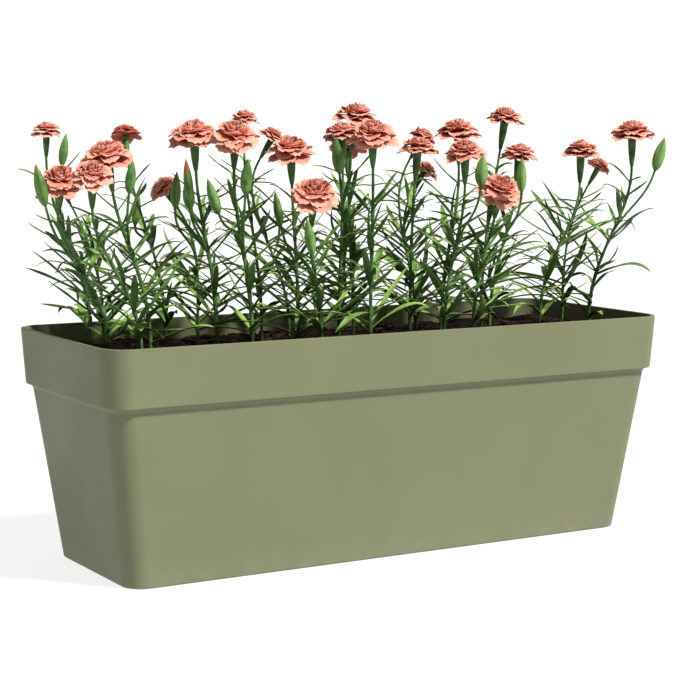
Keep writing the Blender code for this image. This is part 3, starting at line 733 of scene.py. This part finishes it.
def inside_rim(points):
    """Whether the points below the rim stay between the soil and the trough's wall, and the tip
    not too far out."""
    low = points[points[:, 2] < HEIGHT + 0.006]
    half_x, half_y = RIM[0] / 2 - WALL - 0.009, RIM[1] / 2 - WALL - 0.009
    corner_x = np.abs(low[:, 0]) - (half_x - RIM_RADIUS)
    corner_y = np.abs(low[:, 1]) - (half_y - RIM_RADIUS)
    in_sides = (corner_x < RIM_RADIUS) & (corner_y < RIM_RADIUS)
    in_corner = np.hypot(corner_x.clip(0), corner_y.clip(0)) < RIM_RADIUS
    above = points[1:, 2] > SOIL_LEVEL + 0.006
    wider = LEAF_SPREAD_SLOPE * (points[-1, 2] - LEAF_SPREAD_LEVEL)
    near = abs(points[-1, 0]) < LEAF_SPREAD[0] + wider and abs(points[-1, 1]) < LEAF_SPREAD[1] + wider
    return bool((in_sides & in_corner).all() and above.all() and near)


def bloom_room(plant):
    """Points and radii that fill the space of a plant's bloom and calyx."""
    head, size = np.array(plant[1]), plant[2]
    face = face_of(plant)
    side = np.cross(face, [1.0, 0.0, 0.0])
    side /= np.linalg.norm(side)
    other = np.cross(face, side)
    points = [head + face * 0.14 * size, head - face * CALYX_LENGTH * 0.5 * calyx_scale(plant)]
    radii = [0.24 * size, 0.006]
    for turn in range(10):
        angle = math.tau * turn / 10
        spoke = math.cos(angle) * side + math.sin(angle) * other
        points.append(head + spoke * 0.36 * size + face * 0.06 * size)
        radii.append(0.17 * size)
    return np.array(points), np.array(radii)


def tried_plant(draw, plan, attempt):
    """One seeded try for a plant as (foot, middle of the bloom, the bloom's diameter, lean of its
    face). Later tries stray further from the plan."""
    place, row, tier, size, facing = plan
    stray = PLANT_STRAY * (1 + 0.08 * attempt)
    x = PLACE_STEP * place + draw.uniform(-stray, stray)
    y = FRONT_ROW + ROW_STEP * row + draw.uniform(-stray, stray)
    z = LOWEST_TIER + TIER_STEP * tier + draw.uniform(-stray, stray)
    foot_x = FOOT_SHARE * x + draw.uniform(-FOOT_STRAY, FOOT_STRAY)
    foot_y = FOOT_SHARE * y + draw.uniform(-FOOT_STRAY, FOOT_STRAY)
    lean = tuple(part + draw.uniform(-0.08, 0.08) for part in FACINGS[facing])
    return (foot_x, foot_y), (x, y, z), BLOOM_SIZES[size] * draw.uniform(0.95, 1.05), lean


def planted():
    """The plants of the plan. Each takes the first of its tries that keeps clear of the others."""
    draw = random.Random(23)
    room = Room()
    plants = []
    for number, plan in enumerate(PLANTING_PLAN):
        for attempt in range(PLANT_TRIES):
            plant = tried_plant(draw, plan, attempt)
            stem = samples(stem_path(plant))
            bloom, radii = bloom_room(plant)
            gap = min(room.gap(stem, stem_radius(plant), number), room.gap(bloom, radii, number))
            if gap > PLANT_CLEARANCE:
                break
        plants.append(plant)
        room.take(stem, stem_radius(plant), number)
        room.take(bloom, radii, number)
    return plants


def room_of_plants():
    """The room once every stem and bloom has its place. A bloom's owner is no plant, so that its
    own stem's leaves and shoots keep clear of it too."""
    room = Room()
    for number, plant in enumerate(PLANTS):
        room.take(samples(stem_path(plant)), stem_radius(plant), number)
        room.take(*bloom_room(plant), ALL_PLANTS)
    return room


def tried_bud(draw, plan, attempt):
    """One seeded try for a bud as (plant number, how far up its stem the shoot leaves, the bud's
    bottom, its tip)."""
    number, aside, below = plan
    x, y, z = PLANTS[number][1]
    forward = BUD_FORWARD + BUD_FORWARD_STEP * attempt
    tip = np.array([x + ASIDE_STEP * aside, y - forward, z - TIER_STEP * below])
    lean = np.array([0.10 * aside + draw.uniform(-0.12, 0.12), draw.uniform(-0.15, 0.05), 1.0])
    bottom = tip - BUD_LENGTH * draw.uniform(0.85, 1.15) * lean / np.linalg.norm(lean)
    return number, draw.uniform(*SHOOT_SHARES), bottom, tip


def side_shoots(room):
    """The buds of the plan. Each takes the first of its tries that keeps clear of all in the room,
    and takes its own place there."""
    draw = random.Random(31)
    buds = []
    for plan in SHOOT_PLAN:
        for attempt in range(BUD_TRIES):
            bud = tried_bud(draw, plan, attempt)
            shoot, tip = bud_path(bud)
            body = samples(np.array([shoot[-1], tip]))
            shoot_gap = room.gap(samples(shoot), SHOOT_RADIUS, bud[0])
            if min(shoot_gap, room.gap(body, BUD_RADIUS, NOT_YET_OWNED)) > CLEARANCE:
                buds.append(bud)
                room.take(samples(shoot), SHOOT_RADIUS, bud[0])
                room.take(body, BUD_RADIUS, ALL_PLANTS)
                break
    return buds


PLANTS = planted()
for number, plant in enumerate(PLANTS):
    low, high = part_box(f"bloom_{number + 1:02d}")
    if not all(low[i] < plant[1][i] < high[i] for i in range(3)):
        raise ValueError(f"plant {number + 1} doesn't stand where its bloom is in the frame")
ROOM = room_of_plants()
BUDS = side_shoots(ROOM)


def tried_leaf(draw, start, along, turn, kind, attempt):
    """One seeded try for a leaf as (curve's corners, width). Later tries are shorter and turn
    further away from where the leaf should be."""
    _, lengths, widths, lifts, droops = kind
    turn += draw.uniform(-0.12, 0.12) * (1 + attempt)
    out = np.array([math.cos(turn), math.sin(turn), 0.0])
    heading = out + draw.uniform(*lifts) * along
    heading /= np.linalg.norm(heading)
    length = draw.uniform(*lengths) - 0.0008 * attempt
    width = draw.uniform(*widths)
    return leaf_corners(start, heading, length, draw.uniform(*droops)), width


def main_leaves(room):
    """For each plant, its large leaves as (curve's corners, width, share of the stem). They stand in
    pairs up the stem, and each takes the first of its tries that keeps clear of all the rest."""
    draw = random.Random(41)
    found = [[] for _ in PLANTS]
    for pair, kind in enumerate(LEAF_PAIRS):
        for number, plant in enumerate(PLANTS):
            if plant[2] < SMALL_BLOOM and pair == len(LEAF_PAIRS) - 1:
                continue
            path = stem_path(plant)
            pair_share = kind[0] + draw.uniform(-0.04, 0.05)
            first_turn = draw.uniform(0, math.tau)
            for side in range(2):
                share = pair_share + 0.02 * side
                start, along = point_along(path, share)
                turn = first_turn + math.pi * side
                for attempt in range(LEAF_TRIES):
                    corners, width = tried_leaf(draw, start, along, turn, kind, attempt)
                    points = samples(bezier(corners, LEAF_STEPS))
                    if inside_rim(points) and room.gap(points, width / 2, number) > CLEARANCE:
                        found[number].append((corners, width, share))
                        room.take(points, width / 2, number)
                        break
    return found


FINE_PAIRS = [0.10, 0.15, 0.20, 0.30, 0.35, 0.41, 0.52, 0.57, 0.63, 0.74, 0.80, 0.88]
FINE_TRIES = 14

# Length and width at the foot of the stem, and how much of each is lost up to its top.
FINE_LENGTH = (0.086, 0.056)
FINE_WIDTH = (0.0064, 0.0030)
FINE_CLEARANCE = 0.0008


def inside_frame(points):
    """Whether the points stay inside the frame's own length and depth."""
    low, high = np.array(cad_box)[:, :2]
    return bool((points[:, :2] > low).all() and (points[:, :2] < high).all())


def fine_leaves(room):
    """For each plant, its thinner leaves between the large ones, found in the same way. They get
    shorter and narrower up the stem, and sweep aside and curl up or down at the tip."""
    draw = random.Random(97)
    found = [[] for _ in PLANTS]
    for pair_share in FINE_PAIRS:
        for number, plant in enumerate(PLANTS):
            share = pair_share + draw.uniform(-0.03, 0.03)
            start, along = point_along(stem_path(plant), share)
            first_turn = draw.uniform(0, math.tau)
            for side in range(2):
                for attempt in range(FINE_TRIES):
                    turn = first_turn + math.pi * side + draw.uniform(-0.15, 0.15) * (1 + attempt)
                    out = np.array([math.cos(turn), math.sin(turn), 0.0])
                    heading = out + draw.uniform(0.1, 1.1) * along
                    heading /= np.linalg.norm(heading)
                    length = (FINE_LENGTH[0] - FINE_LENGTH[1] * share) * draw.uniform(0.60, 1.20)
                    length -= 0.001 * attempt
                    width = (FINE_WIDTH[0] - FINE_WIDTH[1] * share) * draw.uniform(0.35, 1.25)
                    corners = leaf_corners(start, heading, length, draw.uniform(-0.10, 0.50))
                    sweep = draw.uniform(-0.25, 0.25) * length * np.cross(out, [0.0, 0.0, 1.0])
                    curl = np.array([0.0, 0.0, draw.uniform(-0.10, 0.20) * length])
                    corners = (*corners[:2], corners[2] + 0.3 * sweep, corners[3] + sweep + curl)
                    points = samples(bezier(corners, 6))
                    fits = inside_rim(points) and inside_frame(points)
                    if fits and room.gap(points, width / 2, number) > FINE_CLEARANCE:
                        found[number].append((corners, width, share))
                        room.take(points, width / 2, number)
                        break
    return found


# A leaf blank: a strip with three points across, closed into a thin blade. Its x runs across from
# -1 to 1, its y along from 0 to 1, and its z is the thickness.
LEAF_ROWS = 10
LEAF_THICKNESS = 0.00042
bpy.ops.object.select_all(action="DESELECT")
bpy.ops.mesh.primitive_grid_add(x_subdivisions=2, y_subdivisions=LEAF_ROWS, size=2.0)
leaf_blank = bpy.context.object
bpy.ops.object.mode_set(mode="EDIT")
bpy.ops.transform.translate(value=(0.0, 1.0, 0.0))
bpy.ops.transform.resize(value=(1.0, 0.5, 1.0), center_override=(0.0, 0.0, 0.0))
bpy.ops.object.mode_set(mode="OBJECT")
thicken = leaf_blank.modifiers.new("thicken", "SOLIDIFY")
thicken.thickness = 2.0
thicken.offset = 0.0
apply_modifiers(leaf_blank)
leaf_points, leaf_faces = blank_of(leaf_blank)


def bent_leaf(corners, width, draw):
    """The leaf blank laid along a curve: clasping at its root, keeled, a little twisted and waved,
    and tapering to a long point."""
    across, along, skin = leaf_points.T
    centre, direction = curve_at(corners, along)
    side = np.cross(direction, [0.0, 0.0, 1.0])
    side /= np.linalg.norm(side, axis=1)[:, None]
    up = np.cross(side, direction)
    twist = (draw.uniform(-0.8, 0.8) * along**2 + draw.uniform(-0.15, 0.15))[:, None]
    side, up = side * np.cos(twist) + up * np.sin(twist), up * np.cos(twist) - side * np.sin(twist)
    widen = np.clip(along / 0.30, 0, 1)
    taper = np.clip((along - 0.30) / 0.70, 0, 1)
    spread = width / 2 * (0.45 + 0.55 * widen * widen * (3 - 2 * widen)) * (1 - taper**2.5) + 0.00012
    keel = 0.62 - 0.30 * widen
    wave = 0.10 * np.sin(9 * along + draw.uniform(0, 6)) * across
    thick = LEAF_THICKNESS * (1.15 - 0.45 * np.abs(across)) * (1 - 0.55 * along)
    lift = spread * (keel * np.abs(across) + wave) + skin * thick
    flat = across * spread * np.sqrt(1 - (keel * 0.8) ** 2)
    return centre + side * flat[:, None] + up * lift[:, None]


# A stem blank: a ten-sided rod with one ring at each whole height, which is bent along a line.
ROD_SIDES = 10


def rod_blank(rings):
    """The blank of a rod with this many rings, of radius 1."""
    bpy.ops.object.select_all(action="DESELECT")
    bpy.ops.mesh.primitive_circle_add(vertices=ROD_SIDES, radius=1.0, fill_type="NGON")
    bpy.ops.object.mode_set(mode="EDIT")
    for _ in range(rings - 1):
        bpy.ops.mesh.extrude_region_move(TRANSFORM_OT_translate={"value": (0.0, 0.0, 1.0)})
    bpy.ops.object.mode_set(mode="OBJECT")
    return blank_of(bpy.context.object)


def bent_rod(blank, centres, radii, flatten=1.0, ribs=0.0, teeth=None):
    """A rod blank bent along the centres, with a radius for each. It may be flattened front to back
    and have ribs, and teeth lengthens every other corner of its last rings along a vector."""
    points = blank[0]
    rows = np.rint(points[:, 2]).astype(int)
    corner = np.rint(np.arctan2(points[:, 1], points[:, 0]) / (math.tau / ROD_SIDES)).astype(int)
    sides, others = [], []
    side = np.array([1.0, 0.0, 0.0])
    for i in range(len(centres)):
        along = centres[min(i + 1, len(centres) - 1)] - centres[max(i - 1, 0)]
        along = along / np.linalg.norm(along)
        side = side - (side @ along) * along
        side /= np.linalg.norm(side)
        sides.append(side)
        others.append(np.cross(along, side))
    reach = np.array(radii)[rows] * (1 - ribs * (corner % 2))
    x, y = (points[:, 0] * reach)[:, None], (points[:, 1] * reach * flatten)[:, None]
    bent = np.array(centres)[rows] + x * np.array(sides)[rows] + y * np.array(others)[rows]
    if teeth is not None:
        bent += ((rows >= len(centres) - 2) & (corner % 2 == 1))[:, None] * teeth
    return bent


STEM_ROWS = 44
JOINT_LENGTH = 0.010
JOINT_SWELLING = 0.38
STEM_TAPER = 0.28

# Rings of the calyx: how far along it each is, and its radius in stem radii.
CALYX_ROWS = [
    (0.04, 0.95), (0.12, 1.15), (0.25, 1.45), (0.42, 1.78), (0.60, 2.00), (0.80, 2.14), (0.93, 2.22),
]
CALYX_RIM = [(1.00, 2.30), (1.00, 1.80)]
CALYX_TOOTH = 0.0030


def stem_of(plant, joints):
    """A stem's points: swollen a little at each joint, then widening into the calyx, whose edge is
    cut into five teeth that lie against the bloom."""
    path = stem_path(plant, 24)
    radius = stem_radius(plant)
    centres = [path[0] - [0.0, 0.0, STEM_DEPTH]]
    radii = [0.9 * radius]
    for row in range(STEM_ROWS):
        share = row / (STEM_ROWS - 1)
        joint = max(math.exp(-(((share - place) / JOINT_LENGTH) ** 2)) for place in joints)
        centres.append(point_along(path, share)[0])
        radii.append(0.9 * radius * (1 - STEM_TAPER * share) * (1 + JOINT_SWELLING * joint))
    face = face_of(plant)
    scale = calyx_scale(plant)
    for share, widening in CALYX_ROWS + CALYX_RIM:
        centres.append(path[-1] + face * CALYX_LENGTH * scale * share)
        radii.append(STEM_RADIUS * scale * widening)
    centres[-1] = centres[-1] + face * 0.0002
    return bent_rod(stem_blank, centres, radii, teeth=-face * CALYX_TOOTH * scale)


SHOOT_ROWS = 10
BUD_GIRTH = 0.0052
BUD_GIRTH_STEP = 0.0007
LARGE_BUD_GIRTH = 0.0068
LARGE_BUDS = (12, 14)
BUD_FLATTENING = 0.74
BUD_ROWS = [
    (0.03, 0.34), (0.07, 0.56), (0.16, 0.80), (0.30, 0.98), (0.46, 1.00), (0.62, 0.88),
    (0.76, 0.66), (0.88, 0.38), (0.95, 0.18), (1.00, 0.03),
]


def bud_of(bud, place):
    """The points of a side shoot with the closed bud at its end, a pointed ribbed spindle, how far
    along the bud each is, and which lie on the bud's lighter ribs."""
    shoot, tip = bud_path(bud, SHOOT_ROWS)
    girth = BUD_GIRTH + BUD_GIRTH_STEP * (place % 3 - 1)
    if place in LARGE_BUDS:
        girth = LARGE_BUD_GIRTH
    centres = list(shoot)
    radii = [SHOOT_RADIUS] * len(centres)
    for share, part in BUD_ROWS:
        centres.append(shoot[-1] + share * (tip - shoot[-1]))
        radii.append(max(girth * part, 0.0002))
    bent = bent_rod(bud_blank, centres, radii, flatten=BUD_FLATTENING, ribs=0.10)
    shares = np.array([0.0] * len(shoot) + [share for share, _ in BUD_ROWS])
    rows = np.rint(bud_blank[0][:, 2]).astype(int)
    corner = np.rint(np.arctan2(bud_blank[0][:, 1], bud_blank[0][:, 0]) / (math.tau / ROD_SIDES)).astype(int)
    return bent, shares[rows], (corner % 2 == 0) & (rows > len(shoot))


stem_blank = rod_blank(1 + STEM_ROWS + len(CALYX_ROWS) + len(CALYX_RIM))
bud_blank = rod_blank(1 + SHOOT_ROWS + len(BUD_ROWS))
leaves = main_leaves(ROOM)
thin_leaves = fine_leaves(ROOM)

LEAF_DARK = (0.026, 0.084, 0.018)
LEAF_LIGHT = (0.210, 0.370, 0.090)
LEAF_FRESH = (0.270, 0.430, 0.085)
LEAF_MIDRIB = (0.120, 0.230, 0.070)
LEAF_DRY = (0.120, 0.130, 0.050)
# Painted shade for the undersides of the leaves.
LEAF_SHADED_BACK = (0.020, 0.048, 0.018)
STEM_DARK = (0.016, 0.052, 0.014)
STEM_LIGHT = (0.085, 0.190, 0.048)
BUD_BLUSH = (0.34, 0.050, 0.036)
OPENING_BUD = 6
BUD_RIB_FRESHNESS = 0.12
BLUSHED_BUDS = {2: 0.45, OPENING_BUD: 1.0}

# Living green: grey-green on stems and buds, brighter on young low leaves, with a pale midrib,
# backs darkened with painted shade, dry tips and a waxy bloom. Along and across are a leaf's own directions.
plant_green, tree, shader, coords = new_material("plant_green")
leaf_colour, patches = mottled(tree, coords, 45.0, 4.0, LEAF_DARK, LEAF_LIGHT)
leaf_colour = blend(tree, mark(tree, "fresh"), leaf_colour, LEAF_FRESH)
leaf_colour = blend(tree, ramp(tree, mark(tree, "across"), 0.0, 0.25, 0.45, 0.0), leaf_colour, LEAF_MIDRIB)
leaf_colour = blend(tree, ramp(tree, mark(tree, "along"), 0.78, 1.0, 0.0, 0.40), leaf_colour, LEAF_DRY)
# Painted shade: the underside skin of every leaf is darkened, as if it were turned away from the light.
leaf_colour = blend(tree, ramp(tree, mark(tree, "back"), 0.4, 0.6, 0.0, 0.75), leaf_colour, LEAF_SHADED_BACK)
stem_colour, _ = mottled(tree, coords, 70.0, 4.0, STEM_DARK, STEM_LIGHT)
colour = blend(tree, mark(tree, "stem"), leaf_colour, stem_colour)
colour = blend(tree, mark(tree, "blush"), colour, BUD_BLUSH)
tree.links.new(colour, shader.inputs["Base Color"])
tree.links.new(ramp(tree, patches, 0.0, 1.0, 0.46, 0.60), shader.inputs["Roughness"])
roughen(tree, shader, coords, 900.0, 2.0, 0.15, 0.0003)
shader.inputs["Specular IOR Level"].default_value = 0.25

# The back mark picks out each leaf's underside skin, which takes the painted shade.
leaf_marks = {"along": leaf_points[:, 1], "across": np.abs(leaf_points[:, 0]), "back": leaf_points[:, 2] < 0}
stem_marks = {"along": 0.0, "across": 1.0, "back": 0.0, "fresh": 0.0, "stem": 1.0, "blush": 0.0}
draw = random.Random(12)
for number, plant in enumerate(PLANTS):
    joints = [share for _, _, share in leaves[number] + thin_leaves[number]]
    blocks = [(stem_of(plant, joints), stem_blank[1], stem_marks)]
    for corners, width, share in leaves[number] + thin_leaves[number]:
        fresh = draw.uniform(0.0, 0.40) + (draw.uniform(0.3, 0.8) if share < 0.12 else 0.0)
        marks = {**leaf_marks, "fresh": min(fresh, 0.9), "stem": 0.0, "blush": 0.0}
        blocks.append((bent_leaf(corners, width, draw), leaf_faces, marks))
    for place, bud in enumerate(BUDS):
        if bud[0] == number:
            points, up_bud, ribs = bud_of(bud, place)
            blush = BLUSHED_BUDS.get(place, 0.0)
            start = 0.64 if place == OPENING_BUD else 0.78
            blush = blush * np.clip((up_bud - start) / 0.25, 0, 1)
            marks = {**stem_marks, "blush": blush, "fresh": BUD_RIB_FRESHNESS * ribs, "stem": 1 - 0.75 * ribs}
            blocks.append((points, bud_blank[1], marks))
    leafy_stem = joined_copies(f"leafy_stem_{number + 1:02d}", blocks, smooth=True)
    leafy_stem.data.materials.append(plant_green)
    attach(leafy_stem, "root")
    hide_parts(f"stem_{number + 1:02d}")

# -------------------------------------------------------------------------------------- Blooms
# A carnation's bloom is a low dome of soft coral petals in rings. Each petal narrows to a claw
# in the calyx, spreads, and ends in a ruffled toothed edge. The outer ones are pale and droop.

# Each ring: how many petals, reach of their edge, height of their edge, arch above it, half width,
# how strongly they curl round the flower's axis and how far they are cupped, in half diameters.
PETAL_RINGS = [
    (7, 1.03, -0.12, 0.20, 0.47, 0.55, 0.0),
    (7, 0.93, 0.08, 0.18, 0.45, 0.60, 0.0),
    (6, 0.80, 0.27, 0.14, 0.44, 0.75, 0.2),
    (6, 0.66, 0.43, 0.10, 0.40, 0.90, 0.5),
    (5, 0.51, 0.55, 0.08, 0.38, 1.00, 0.8),
    (5, 0.38, 0.64, 0.05, 0.31, 1.00, 1.0),
    (4, 0.25, 0.69, 0.02, 0.25, 1.00, 1.0),
    (3, 0.13, 0.71, 0.00, 0.17, 1.00, 1.0),
]
PETAL_THICKNESS = 0.00045
GOLDEN_TURN = 2.4

bpy.ops.object.select_all(action="DESELECT")
bpy.ops.mesh.primitive_grid_add(x_subdivisions=8, y_subdivisions=5, size=2.0)
petal_blank = bpy.context.object
bpy.ops.object.mode_set(mode="EDIT")
bpy.ops.transform.translate(value=(0.0, 1.0, 0.0))
bpy.ops.transform.resize(value=(1.0, 0.5, 1.0), center_override=(0.0, 0.0, 0.0))
bpy.ops.object.mode_set(mode="OBJECT")
thicken = petal_blank.modifiers.new("thicken", "SOLIDIFY")
thicken.thickness = 1.0
thicken.offset = 0.0
apply_modifiers(petal_blank)
petal_points, petal_faces = blank_of(petal_blank)


def shaped_petal(ring, turn, skin_depth, draw):
    """The petal blank shaped for its ring, in half diameters: a claw that spreads into a cupped,
    ruffled blade with a toothed end, turned round the flower's axis."""
    _, reach, edge, arch, width, wrap, cupped = ring
    across, along, skin = petal_points.T
    reach *= draw.uniform(0.84, 1.07)
    width *= draw.uniform(0.88, 1.12)
    edge += draw.uniform(-0.10, 0.08) * (1 - 0.5 * cupped)
    notch = draw.uniform(0.0, 0.12) * np.exp(-(((across - draw.uniform(-0.4, 0.4)) / 0.30) ** 2))
    tooth = draw.uniform(0.012, 0.040) * np.cos(4 * math.pi * across + draw.uniform(-0.9, 0.9))
    share = along * (1 - (0.22 - 0.12 * cupped) * np.abs(across) ** 2.4 - (notch + tooth) * along**4)
    claw = (0.05, -0.04)
    spoon = [claw, (0.10 + 0.06 * reach, edge + arch), (0.60 * reach, edge + 1.2 * arch), (reach, edge)]
    goblet = [claw, (0.75 * reach, 0.08), (0.98 * reach, 0.70 * edge), (reach, edge)]
    line, slope = curve_at(np.array(spoon) * (1 - cupped) + np.array(goblet) * cupped, share)
    spread = width * (0.14 + 0.86 * np.sin(math.pi / 2 * np.clip(along / 0.80, 0, 1)) ** 1.2)
    depth = draw.uniform(0.01, 0.05)
    ruffle = depth * np.sin(draw.uniform(3.0, 6.0) * across + draw.uniform(0, 6)) * along**2
    tilt = draw.uniform(-0.07, 0.07) * across * along
    cup = draw.uniform(0.00, 0.10) * across**2 * along
    lift = ruffle + tilt + cup + skin * skin_depth
    radius = line[:, 0] - slope[:, 1] * lift
    height = line[:, 1] + slope[:, 0] * lift
    sideways = across * spread
    bend = turn + wrap * sideways / (0.25 + np.maximum(radius, 0.05))
    left = sideways * (1 - wrap)
    x = radius * np.cos(bend) - left * math.sin(turn)
    y = radius * np.sin(bend) + left * math.cos(turn)
    return np.stack([x, y, height], axis=1)


PETAL_DEEP = (0.27, 0.014, 0.012)
PETAL_CORAL = (0.56, 0.118, 0.078)
PETAL_PALE = (0.82, 0.430, 0.320)
PETAL_ROSE = (0.50, 0.080, 0.056)
PETAL_VEIN = (0.38, 0.052, 0.032)
# Painted shade for the backs of the outer petals.
PETAL_SHADED_BACK = (0.36, 0.022, 0.016)

# Petal: deep coral in the claw, salmon towards the edge, with fine veins along it. The pale edge is partly
# the petal's own colour and partly painted highlight on the rims, and the backs of the outer rings get
# painted shade.
petal_coral, tree, shader, coords = new_material("petal_coral")
along, across, heart = mark(tree, "petal_along"), mark(tree, "petal_across"), mark(tree, "petal_heart")
back, tint = mark(tree, "petal_back"), mark(tree, "petal_tint")
colour = blend(tree, ramp(tree, along, 0.20, 0.75), PETAL_DEEP, PETAL_CORAL)
# Painted shade on the backs of the outer rings, fading out towards the heart.
outer_ring = ramp(tree, heart, 0.15, 0.55, 1.0, 0.12)
shaded_underside = ramp(tree, back, 0.4, 0.6)
shaded_underside = add_node(tree, "ShaderNodeMath", {0: shaded_underside, 1: outer_ring}, operation="MULTIPLY").outputs[0]
colour = blend(tree, ramp(tree, shaded_underside, 0.0, 1.0, 0.0, 0.65), colour, PETAL_SHADED_BACK)
# The pale edge is partly the petal's own paler edge and partly painted highlight along the lit rims.
edge_start = ramp(tree, heart, 0.0, 1.0, 0.58, 0.70)
inputs = {0: along, 1: edge_start, 2: 1.0, 3: 0.0, 4: 1.0}
pale_edge_and_highlight = add_node(tree, "ShaderNodeMapRange", inputs, interpolation_type="SMOOTHSTEP").outputs[0]
# Painted shade: a petal's back keeps less of the pale edge than its lit upper face.
less_pale_in_shade = ramp(tree, shaded_underside, 0.0, 1.0, 1.0, 0.40)
pale_edge_and_highlight = add_node(tree, "ShaderNodeMath", {0: pale_edge_and_highlight, 1: less_pale_in_shade}, operation="MULTIPLY").outputs[0]
colour = blend(tree, pale_edge_and_highlight, colour, PETAL_PALE)
colour = blend(tree, ramp(tree, tint, 0.0, 1.0, 0.0, 0.32), colour, PETAL_ROSE)
strand = add_node(tree, "ShaderNodeCombineXYZ", {0: across, 1: along, 2: tint}).outputs[0]
strand = add_node(tree, "ShaderNodeMapping", {"Vector": strand, "Scale": (27.0, 3.6, 90.0)}).outputs[0]
colour_of_veins, veins = mottled(tree, strand, 1.0, 3.0, PETAL_PALE, PETAL_VEIN)
colour = blend(tree, ramp(tree, veins, 0.0, 1.0, 0.0, 0.16), colour, colour_of_veins)
tree.links.new(colour, shader.inputs["Base Color"])
tree.links.new(ramp(tree, veins, 0.0, 1.0, 0.52, 0.66), shader.inputs["Roughness"])
roughen(tree, shader, strand, 1.0, 3.0, 0.25, 0.0004)
shader.inputs["Specular IOR Level"].default_value = 0.15
shader.inputs["Subsurface Weight"].default_value = 0.16
shader.inputs["Subsurface Radius"].default_value = (0.004, 0.0015, 0.001)

for number, plant in enumerate(PLANTS):
    draw = random.Random(300 + number)
    half = plant[2] / 2
    to_face = np.array(Vector((0.0, 0.0, 1.0)).rotation_difference(Vector(face_of(plant))).to_matrix())
    petals = []
    turn = draw.uniform(0, math.tau)
    for place, ring in enumerate(PETAL_RINGS):
        turn += GOLDEN_TURN
        for petal_number in range(ring[0]):
            angle = turn + math.tau * (petal_number + draw.uniform(-0.12, 0.12)) / ring[0]
            shaped = shaped_petal(ring, angle, PETAL_THICKNESS / half, draw) * half
            marks = {
                "petal_along": petal_points[:, 1],
                "petal_across": petal_points[:, 0],
                "petal_heart": place / (len(PETAL_RINGS) - 1),
                "petal_back": petal_points[:, 2] < 0,
                "petal_tint": draw.random(),
            }
            petals.append((shaped @ to_face.T + np.array(plant[1]), petal_faces, marks))
    flower = joined_copies(f"carnation_{number + 1:02d}", petals, smooth=True)
    flower.data.materials.append(petal_coral)
    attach(flower, "root")
    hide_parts(f"bloom_{number + 1:02d}")
